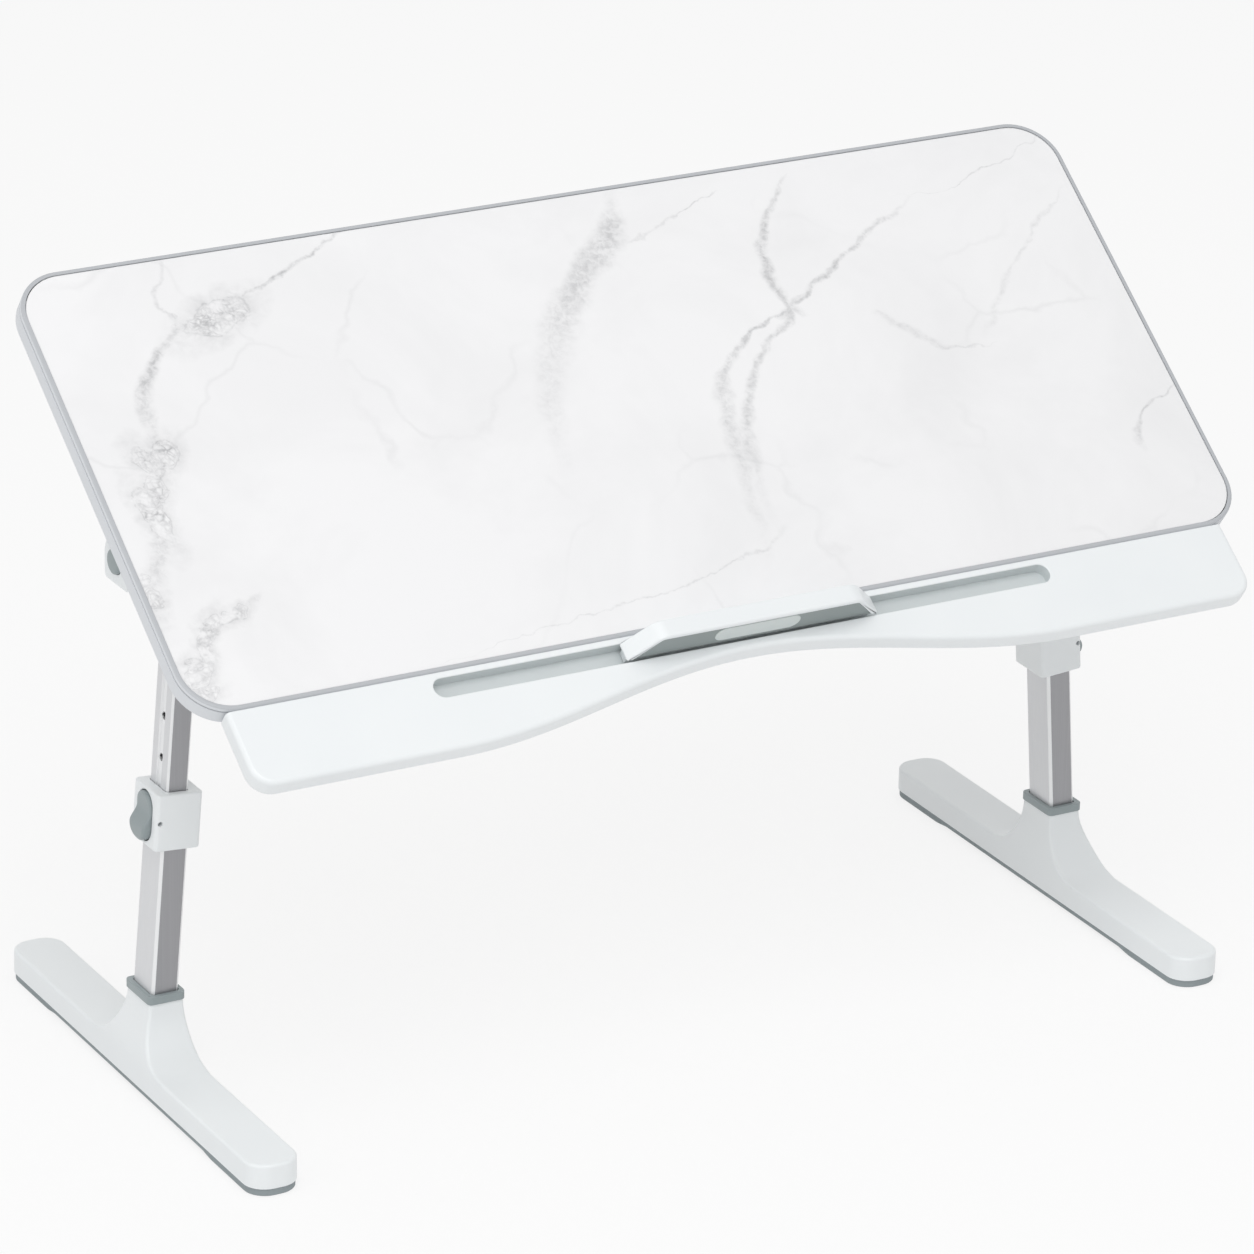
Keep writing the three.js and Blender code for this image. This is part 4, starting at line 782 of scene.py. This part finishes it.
# Leg heads: each is a white ABS housing with a round top and a straight skirt, closed by a cover on
# its outer face. The tilt lock's button stands in the cover, and the upper tube goes up into its stem.
HEAD_ROUND = 0.001
BUTTON_PROUD = 0.002
HEAD_CORNER = 0.003
HEAD_ARCH = 0.999
STEM_WALL = 0.003
STEM_IN = 0.0095
STEM_OUT = 0.0105
CHAMBER_RADIUS = 0.0082
CHAMBER_START = 0.0088
BUTTON_RADIUS = 0.0065
BUTTON_SUNK = 0.004
BUTTON_ROUND = 0.0011
FIT_GAP = 0.0003
SOCKET_REACH = 1.5


def twin(piece, name):
    """A copy of a piece, with a mesh of its own."""
    made = piece.copy()
    made.data = piece.data.copy()
    made.name = made.data.name = name
    bpy.context.scene.collection.objects.link(made)
    return made


def both_sides(piece, place, body, slot, finishes, *nodes):
    """Sets the right-hand piece in its place, and a mirrored copy on the left."""
    name = piece.name
    left = twin(piece, f"{name}_left")
    piece.name = piece.data.name = f"{name}_right"
    settle(piece, place, f"{body}_right", slot, finishes, *[f"{node}_right" for node in nodes])
    settle(left, Matrix.Scale(-1, 4, (1, 0, 0)) @ place, f"{body}_left", slot, finishes,
           *[f"{node}_left" for node in nodes])
    edit(left)
    bpy.ops.mesh.select_all(action="SELECT")
    bpy.ops.mesh.normals_make_consistent(inside=False)
    close(left)


def rod(name, radius, start, end, axis=2, sides=32):
    """A round bar between two points that lie along one axis, the start of a turned piece."""
    bpy.ops.object.select_all(action="DESELECT")
    start, end = Vector(start), Vector(end)
    turn = {0: (0, math.pi / 2, 0), 1: (math.pi / 2, 0, 0), 2: (0, 0, 0)}[axis]
    bpy.ops.mesh.primitive_cylinder_add(vertices=sides, radius=radius, depth=(end - start).length,
                                        location=(start + end) / 2, rotation=turn)
    piece = bpy.context.object
    piece.name = piece.data.name = name
    bpy.ops.object.transform_apply(location=True, rotation=True, scale=True)
    return piece


def arched(name, low, high):
    """A block with a full round top and small round corners below, seen along X."""
    piece = block(name, low, high)
    half = (high[1] - low[1]) / 2
    round_edges(piece, lambda edge: runs_along(0)(edge) and edge.verts[0].co.z > 0, half * HEAD_ARCH, 14)
    round_edges(piece, lambda edge: runs_along(0)(edge) and edge.verts[0].co.z < low[2] + NEAR,
                HEAD_CORNER, 4)
    return piece


cover_low, cover_high = span("head_cover_right", HEAD)
head_low, head_high = span("leg_head_right", HEAD)
cover = arched("cover_plate", cover_low, cover_high)
round_rims(cover, 0, [cover_high.x], HEAD_ROUND, 3)
carve(cover, rod("bore", BUTTON_RADIUS + FIT_GAP, (cover_low.x - STEM_WALL, 0, 0),
                 (cover_high.x + STEM_WALL, 0, 0), 0, 48))
both_sides(cover, HEAD, "upper_leg", "white_abs", [white_abs], "head_cover")

head = arched("head_housing", (head_low.x, cover_low.y, cover_low.z),
              (cover_low.x - FIT_GAP, cover_high.y, cover_high.z))
round_rims(head, 0, [head_low.x], HEAD_ROUND, 3)
stem = rounded_block("stem", (-STEM_IN, head_low.y, head_low.z), (STEM_OUT, head_high.y, 0), 2, HEAD_CORNER)
round_rims(stem, 2, [head_low.z], HEAD_ROUND, 3)
carve(head, stem, "UNION")
chamber = rod("chamber", CHAMBER_RADIUS, (CHAMBER_START, 0, 0), (cover_low.x, 0, 0), 0, 40)
carve(head, chamber)


def tube_room(low, high, foot, head, gap=FIT_GAP):
    """A block that cuts room for a tube between two heights, with a gap round it."""
    return block("tube_room", (low.x - gap, low.y - gap, foot), (high.x + gap, high.y + gap, head))


tube_low, tube_high = span("upper_tube_right", LEG)
socket = tube_room(tube_low, tube_high, head_low.z * SOCKET_REACH, tube_high.z + FIT_GAP)
socket.data.transform(Matrix.Rotation(-splay, 4, "Y"))
carve(head, socket)
both_sides(head, HEAD, "upper_leg", "white_abs", [white_abs], "leg_head")

# Tilt button: a round cap in the cover's bore, moulded in grey ABS with a soft rim.
# It is pushed in against a spring, which frees the cone behind it.
grey_abs = moulded_plastic("moulded_grey_abs", "#8F999B", "#9CA6A8", 0.42, 0.0007, 0.00004)
button_face = cover_high.x + BUTTON_PROUD
button = rod("tilt_button_cap", BUTTON_RADIUS, (cover_low.x - BUTTON_SUNK, 0, 0), (button_face, 0, 0), 0, 40)
round_rims(button, 0, [button_face], BUTTON_ROUND, 4)
both_sides(button, HEAD, "tilt_lock", "grey_abs", [grey_abs], "tilt_button")


# Upper tubes: extruded aluminium with a shallow channel down the outer face, in which five lock holes
# are punched. They are anodised, which leaves a bright satin skin with fine lines along the tube.
TUBE_CORNER = 0.002
TUBE_WALL = 0.0012
CHANNEL_HALF = 0.003
CHANNEL_DEPTH = 0.0009
CHANNEL_SLOPE = 0.0004
HOLE_RADIUS = 0.0021
HOLE_PITCH = 0.022
HOLE_COUNT = 5
LOCK_HOLE = 0.131
CUT_PAST = 0.03


def open_tube(piece):
    """Takes the ends off the closed bar and gives it a wall."""
    edit(piece)
    pick(piece, "FACE", facing(2))
    bpy.ops.mesh.delete(type="FACE")
    bpy.ops.object.mode_set(mode="OBJECT")
    modifier = piece.modifiers.new("wall", "SOLIDIFY")
    modifier.thickness = TUBE_WALL
    modifier.offset = -1
    bpy.ops.object.modifier_apply(modifier=modifier.name)
    bpy.ops.object.shade_smooth_by_angle(angle=SMOOTH)


def punch(piece, places):
    """Punches the lock holes through the outer wall."""
    punches = [rod("punch", HOLE_RADIUS, (0, 0, -place), (CUT_PAST, 0, -place), 0, 24) for place in places]
    carve(piece, gather(punches, "punches"))


upper = rounded_block("upper_tube_extrusion", tube_low, tube_high, 2, TUBE_CORNER)
edit(upper)
slice_flat(upper, 1, [-CHANNEL_HALF, CHANNEL_HALF])
pick(upper, "FACE", lambda face: facing(0, 1)(face) and abs(face.calc_center_median().y) < CHANNEL_HALF)
bpy.ops.mesh.inset(thickness=CHANNEL_SLOPE, depth=-CHANNEL_DEPTH)
close(upper)
open_tube(upper)
punch(upper, [LOCK_HOLE - number * HOLE_PITCH for number in range(HOLE_COUNT)])


def anodised_aluminium(name, dark, light, metallic, rough):
    """Extruded aluminium, anodised satin: fine die lines run along the tube and catch the light."""
    finish, tree, place = start_finish(name)
    line_size, line_length = 0.0006, 0.2
    along = add(tree, "ShaderNodeMapping", {
        "Vector": place, "Scale": (1 / line_size, 1 / line_size, 1 / line_length)})
    lines, skin = drifting(tree, along.outputs["Vector"], 1, 3, dark, light, rough, spread=0.03)
    bump = add(tree, "ShaderNodeBump", {"Height": lines, "Strength": 0.04, "Distance": 0.00003})
    return end_finish(finish, {**skin, "Metallic": metallic, "Normal": bump.outputs["Normal"]})


# The faces carry painted light and shade: the narrow ones are painted darker, as painted shade, the wide ones
# a lighter lit tone, and the channel and the corners lighter still, as painted highlight. Their roughness and
# metallic differ a little too.
painted_shade_aluminium = anodised_aluminium("anodised_aluminium_painted_shade", "#9A9A9D", "#A6A6A9", 0.7, 0.36)
painted_lit_aluminium = anodised_aluminium("anodised_aluminium_painted_lit", "#D6D7D9", "#DFE0E2", 0.4, 0.4)
painted_highlight_aluminium = anodised_aluminium("anodised_aluminium_painted_highlight", "#EDEEEF", "#F4F5F6", 0.3, 0.3)
tube_painted_light_copies = [painted_shade_aluminium, painted_lit_aluminium, painted_highlight_aluminium]
FLAT = 0.95


def paint_tube_light_and_shade(piece, low, high):
    """Sorts the faces of a tube into the painted shade, lit and painted highlight copies, given its two
    corners.
    """
    middle, half = (low.x + high.x) / 2, (high.x - low.x) / 2
    for face in piece.data.polygons:
        wide = abs(face.normal.x) > FLAT and abs(abs(face.center.x - middle) - half) < CHANNEL_DEPTH / 2
        face.material_index = 0 if abs(face.normal.y) > FLAT else 1 if wide else 2


paint_tube_light_and_shade(upper, tube_low, tube_high)
both_sides(upper, LEG, "upper_leg", "aluminium", tube_painted_light_copies, "upper_tube")


# Lower tubes: plain aluminium extrusions one size larger, in which the upper ones slide.
# Each stands in the foot's socket, and carries the height clamp on its mouth.
lower_low, lower_high = span("lower_tube_right", LEG)
lower = rounded_block("lower_tube_extrusion", lower_low, lower_high, 2, TUBE_CORNER + TUBE_WALL / 2)
open_tube(lower)
punch(lower, [LOCK_HOLE])
paint_tube_light_and_shade(lower, lower_low, lower_high)
both_sides(lower, LEG, "lower_leg", "aluminium", tube_painted_light_copies, "lower_tube")


# Height clamps: a white ABS block pressed on the mouth of each lower tube. Its outer face has a pocket
# for the rocker lever, and the lever's pin goes in from the front through a small bore.
CLAMP_CORNER = 0.0024
CLAMP_ROUND = 0.0009
MOUTH_GAP = 0.0004
POCKET_DEPTH = 0.0038
PIN_BORE = 0.0013
POCKET_GAP = 0.0006
POCKET_ROUND = 0.0004
POCKET_END = 0.98
MOUTH_OVERLAP = 0.002
PIN_SETBACK = 0.0006

clamp_low, clamp_high = span("clamp_housing_right", LEG)
lever_low, lever_high = span("height_lever_right", LEG)
pin_low, pin_high = span("lever_pin_right", LEG)
clamp = rounded_block("height_clamp", clamp_low, clamp_high, 2, CLAMP_CORNER, 6)
round_rims(clamp, 2, (clamp_low.z, clamp_high.z), CLAMP_ROUND, 4)
lower_end = lower_high.z + FIT_GAP
carve(clamp, tube_room(lower_low, lower_high, clamp_low.z - CUT_PAST, lower_end))
mouth = tube_room(tube_low, tube_high, lower_end - MOUTH_OVERLAP, clamp_high.z + CUT_PAST, MOUTH_GAP)
round_edges(mouth, runs_along(2), TUBE_CORNER, 4)
carve(clamp, mouth)
lever_half = (lever_high.y - lever_low.y) / 2
room_half = lever_half + POCKET_GAP
lever_room = rounded_block(
    "lever_room", (clamp_high.x - POCKET_DEPTH, -room_half, lever_low.z - POCKET_GAP),
    (clamp_high.x + POCKET_DEPTH, room_half, lever_high.z + POCKET_GAP), 0, room_half * POCKET_END, 12)
carve(clamp, lever_room)
round_edges(clamp, lambda edge: rim_at(0, clamp_high.x)(edge)
            and all(abs(vert.co.y) < room_half + NEAR for vert in edge.verts), POCKET_ROUND, 3)
pin_middle = (pin_low + pin_high) / 2
carve(clamp, rod("pin_bore", PIN_BORE, (pin_middle.x - PIN_SETBACK, -CUT_PAST, pin_middle.z),
                 (pin_middle.x - PIN_SETBACK, CUT_PAST, pin_middle.z), 1, 20))
both_sides(clamp, LEG, "lower_leg", "white_abs", [white_abs], "clamp_housing")


# Rocker levers: grey ABS, hung on a steel pin. The upper half lies flat, the lower half swells out for
# the thumb, and pressing it draws the lock pin out of its hole.
LEVER_FLAT = 0.0034
LEVER_BULGE = 0.0061
LEVER_DISH = 0.0009
LEVER_RISE = 0.36
LEVER_CREST = 0.7
LEVER_FALL = 0.8
LEVER_ROUND = 0.0012
LEVER_END = 0.97
LEVER_STEPS = 36
RELIEF = 0.003
RELIEF_START = 0.55

lever_face = pin_middle.x + LEVER_FLAT
lever = rounded_block("rocker_lever", lever_low, (lever_face, lever_high.y, lever_high.z), 0,
                      lever_half * LEVER_END, 12)
round_rims(lever, 0, [lever_face], LEVER_ROUND, 5)
edit(lever)
lever_length = lever_high.z - lever_low.z
slice_flat(lever, 2, [lever_low.z + lever_length * step / LEVER_STEPS for step in range(1, LEVER_STEPS)])
for vert in bmesh.from_edit_mesh(lever.data).verts:
    share = (lever_high.z - vert.co.z) / lever_length
    if vert.co.x > pin_middle.x:
        rise = min(max((share - LEVER_RISE) / (LEVER_CREST - LEVER_RISE), 0), 1)
        fall = max(share - LEVER_CREST, 0) / (1 - LEVER_CREST)
        swell = rise * rise * (3 - 2 * rise) * math.sqrt(1 - fall * fall * LEVER_FALL)
        dish = math.sin(math.pi * min(share / LEVER_CREST, 1)) ** 2
        vert.co.x += (LEVER_BULGE - LEVER_FLAT) * swell - LEVER_DISH * dish
    elif share > RELIEF_START:
        vert.co.x += RELIEF * (share - RELIEF_START) / (1 - RELIEF_START)
bmesh.update_edit_mesh(lever.data)
close(lever)
both_sides(lever, LEG, "lever", "grey_abs", [grey_abs], "height_lever")


# Feet: each shell is one white ABS moulding, a long beam that sweeps up into a riser, in which the
# lower tube stands. A grey collar closes the riser's mouth.
FOOT_CORNER = 0.0115
FOOT_ROUND = 0.0016
RISER_STEPS = 12
RISER_DEPTH = 0.027
RISER_FLARE = 0.027
RISER_WIDTH = 0.019
FOOT_TOP = 0.017
RIDGE = math.radians(55)
COLLAR_CORNER = 0.0028
COLLAR_ROUND = 0.0003

shell_low, shell_high = span("foot_shell_right", FOOT)
beam = rounded_block("foot_moulding", shell_low, (shell_high.x, shell_high.y, FOOT_TOP), 2, FOOT_CORNER, 8)
edit(beam)
flare_foot = RISER_DEPTH / 2 + RISER_FLARE
slice_flat(beam, 1, [-flare_foot, flare_foot])
pick(beam, "FACE", lambda face: facing(2, 1)(face) and abs(face.calc_center_median().y) < NEAR)
riser_height = shell_high.z - FOOT_TOP
last_depth, last_height = flare_foot, 0.0
for step in range(1, RISER_STEPS + 1):
    angle = math.pi / 2 * step / RISER_STEPS
    depth = RISER_DEPTH / 2 + RISER_FLARE * (1 - math.sin(angle))
    height = riser_height * (1 - math.cos(angle))
    bpy.ops.mesh.extrude_region_move(TRANSFORM_OT_translate={"value": (0, 0, height - last_height)})
    bpy.ops.transform.resize(value=(1, depth / last_depth, 1), center_override=(0, 0, 0))
    last_depth, last_height = depth, height
collar_low, collar_high = span("foot_collar_right", FOOT)
lean = (collar_low.x + collar_high.x) / 2
for vert in bmesh.from_edit_mesh(beam.data).verts:
    share = max(0, (vert.co.z - FOOT_TOP) / riser_height)
    ease = share * share * (3 - 2 * share)
    vert.co.x = vert.co.x * (1 - ease + ease * RISER_WIDTH / (shell_high.x - shell_low.x)) + lean * ease
bmesh.update_edit_mesh(beam.data)
close(beam)
round_edges(beam, lambda edge: edge.is_manifold and edge.calc_face_angle(0) > RIDGE
            and min(vert.co.z for vert in edge.verts) > shell_low.z + NEAR
            and max(vert.co.z for vert in edge.verts) < shell_high.z + NEAR
            and not all(abs(vert.co.z - shell_high.z) < NEAR for vert in edge.verts), FOOT_ROUND, 5)


def leaning_room(gap_below):
    """Room for the lower tube where it leans through the foot, with a gap under its end."""
    room = tube_room(lower_low, lower_high, lower_low.z - gap_below, lower_high.z)
    round_edges(room, runs_along(2), TUBE_CORNER, 4)
    room.data.transform(FOOT.inverted() @ LEG)
    return room


carve(beam, leaning_room(FIT_GAP))
both_sides(beam, FOOT, "lower_leg", "white_abs", [white_abs], "foot_shell")

collar = rounded_block("tube_collar", collar_low, collar_high, 2, COLLAR_CORNER, 6)
round_rims(collar, 2, (collar_low.z, collar_high.z), COLLAR_ROUND, 2)
carve(collar, leaning_room(0))
both_sides(collar, FOOT, "lower_leg", "grey_abs", [grey_abs], "foot_collar")


# Soles: grey rubber, moulded to the outline of the foot and pressed on. Each is thicker at both ends,
# and the table stands on those.
SOLE_STEP = 0.0015
SOLE_END = 0.034
SOLE_RAMP = 0.012
SOLE_ROUND = 0.0006

sole_low, sole_high = span("foot_sole_right", FOOT)
sole = rounded_block("rubber_sole", sole_low, sole_high, 2, FOOT_CORNER, 8)
middle_half = sole_high.y - SOLE_END
arch = block("arch", (sole_low.x - SOLE_STEP, -middle_half, -SOLE_STEP),
             (sole_high.x + SOLE_STEP, middle_half, SOLE_STEP))
edit(arch)
pick(arch, "FACE", facing(2, 1))
bpy.ops.transform.resize(value=(1, 1 - 2 * SOLE_RAMP / middle_half, 1))
close(arch)
carve(sole, arch)
round_rims(sole, 2, [0], SOLE_ROUND, 3)
rubber = moulded_plastic("moulded_grey_rubber", "#8A9396", "#99A2A5", 0.7, 0.001, 0.0001)
both_sides(sole, FOOT, "lower_leg", "grey_rubber", [rubber], "foot_sole")


# Screws: zinc plated steel with pan heads and a cross recess, five through the rest's flange and four
# through each hinge plate. They show from below.
HEAD_RADIUS = 0.0033
HEAD_HEIGHT = 0.0018
CROSS_LENGTH = 0.0036
CROSS_WIDTH = 0.0008
CROSS_DEPTH = 0.001
PAN_ROUND = 0.0013
SHANK_RADIUS = 0.0017


def plated_steel(name, dark, light, rough):
    """Steel under bright zinc: a cold grey metal with a faint crystalline bloom."""
    finish, tree, place = start_finish(name)
    bloom_size = 0.003
    skin = drifting(tree, place, bloom_size, 4, dark, light, rough, spread=0.07)[1]
    return end_finish(finish, {**skin, "Metallic": 1.0})


zinc = plated_steel("zinc_plated_steel", "#B4B6B9", "#C8CACC", 0.34)
screw_names = [name for name in frame["nodes"] if "_screw_" in name]
screw_low, screw_high = span("wrist_rest_screw_3", TOP)
pan_screw = rod("pan_screw", HEAD_RADIUS, (0, 0, 0), (0, 0, HEAD_HEIGHT), 2, 32)
round_rims(pan_screw, 2, [0], PAN_ROUND, 5)
for length, width in ((CROSS_LENGTH, CROSS_WIDTH), (CROSS_WIDTH, CROSS_LENGTH)):
    half = Vector((length / 2, width / 2, CROSS_DEPTH))
    carve(pan_screw, block("cross", -half, half))
shank = rod("shank", SHANK_RADIUS, (0, 0, HEAD_HEIGHT / 2), (0, 0, screw_high.z - screw_low.z), 2, 16)
carve(pan_screw, shank, "UNION")
for name in screw_names:
    low, high = span(name, TOP)
    screw = twin(pan_screw, f"pan_{name}")
    middle = (low + high) / 2
    settle(screw, TOP @ Matrix.Translation((middle.x, middle.y, low.z)), "table", "steel", [zinc], name)
bpy.data.objects.remove(pan_screw)

# Inner pieces: zinc plated pins and plates, springs of drawn wire, nylon glides in the tubes, and the
# moulded brackets that the legs fold on. They keep the meshes of the solids, and get their finishes here.
spring_wire = plated_steel("drawn_spring_wire", "#84868A", "#9A9CA0", 0.28)
nylon = moulded_plastic("moulded_nylon", "#D6D6D0", "#E2E2DC", 0.5, 0.0009, 0.00005)
for side in ("left", "right"):
    wear_finish([f"{name}_{side}" for name in (
        "hinge_plate", "fold_pin", "tilt_axle", "head_pin", "lever_pin", "lock_pin")], zinc)
    wear_finish([f"tilt_spring_{side}", f"lever_spring_{side}"], spring_wire)
    wear_finish([f"tube_glide_{side}"], nylon)
    wear_finish([f"fold_bracket_{side}"], white_abs)


# Stage: a pale floor that keeps the soft shadow, a white surround, and three soft lamps.
# The floor lies a little below the soles, so that it and their undersides don't share a plane.
FLOOR_SIZE = 12
FLOOR_DROP = 0.0003
SHADOW_SHARE = 0.2
FILL = 0.6
LAMPS_AIM = Vector((0, 0, 0.2))


def seen_directly(tree):
    """One for what the camera sees, straight or in gloss or glass, and zero for light that bounces."""
    path = add(tree, "ShaderNodeLightPath")
    either = add(tree, "ShaderNodeMath", {
        0: path.outputs["Is Camera Ray"], 1: path.outputs["Is Glossy Ray"]}, operation="MAXIMUM")
    return add(tree, "ShaderNodeMath", {
        0: either.outputs[0], 1: path.outputs["Is Transmission Ray"]}, operation="MAXIMUM").outputs[0]


bpy.ops.object.select_all(action="DESELECT")
bpy.ops.mesh.primitive_plane_add(size=FLOOR_SIZE, location=(0, 0, -FLOOR_DROP))
floor = bpy.context.object
floor.name = "floor"
floor_paint, tree = start_finish("pale_floor")[:2]
matt = add(tree, "ShaderNodeBsdfDiffuse", {"Color": linear("#F6F6F6")})
glow = add(tree, "ShaderNodeEmission", {"Color": (1, 1, 1, 1), "Strength": 1})
seen = add(tree, "ShaderNodeMath", {0: seen_directly(tree), 1: 1 - SHADOW_SHARE}, operation="MULTIPLY")
blend = add(tree, "ShaderNodeMixShader", {
    0: seen.outputs[0], 1: matt.outputs["BSDF"], 2: glow.outputs["Emission"]})
add(tree, "ShaderNodeOutputMaterial", {"Surface": blend.outputs["Shader"]})
floor.data.materials.append(floor_paint)

world = bpy.data.worlds.new("white_surround")
bpy.context.scene.world = world
world.use_nodes = True
world.node_tree.nodes.clear()
tree = world.node_tree
strength = add(tree, "ShaderNodeMapRange", {"Value": seen_directly(tree), "To Min": FILL, "To Max": 1})
surround = add(tree, "ShaderNodeBackground", {
    "Color": (1, 1, 1, 1), "Strength": strength.outputs["Result"]})
add(tree, "ShaderNodeOutputWorld", {"Surface": surround.outputs["Background"]})

LAMPS = {
    "key": ((-0.8, -1.7, 2.9), 2.2, 39),
    "left": ((-3.0, -0.6, 1.6), 2.0, 10),
    "top": ((0.4, 0.8, 3.2), 2.6, 3),
}
for name, (place, size, watts) in LAMPS.items():
    bpy.ops.object.light_add(type="AREA", location=place)
    lamp = bpy.context.object
    lamp.name = f"{name}_lamp"
    lamp.data.size = size
    lamp.data.energy = watts
    lamp.rotation_euler = (LAMPS_AIM - Vector(place)).to_track_quat("-Z", "Y").to_euler()

bpy.context.scene.view_settings.view_transform = "Standard"
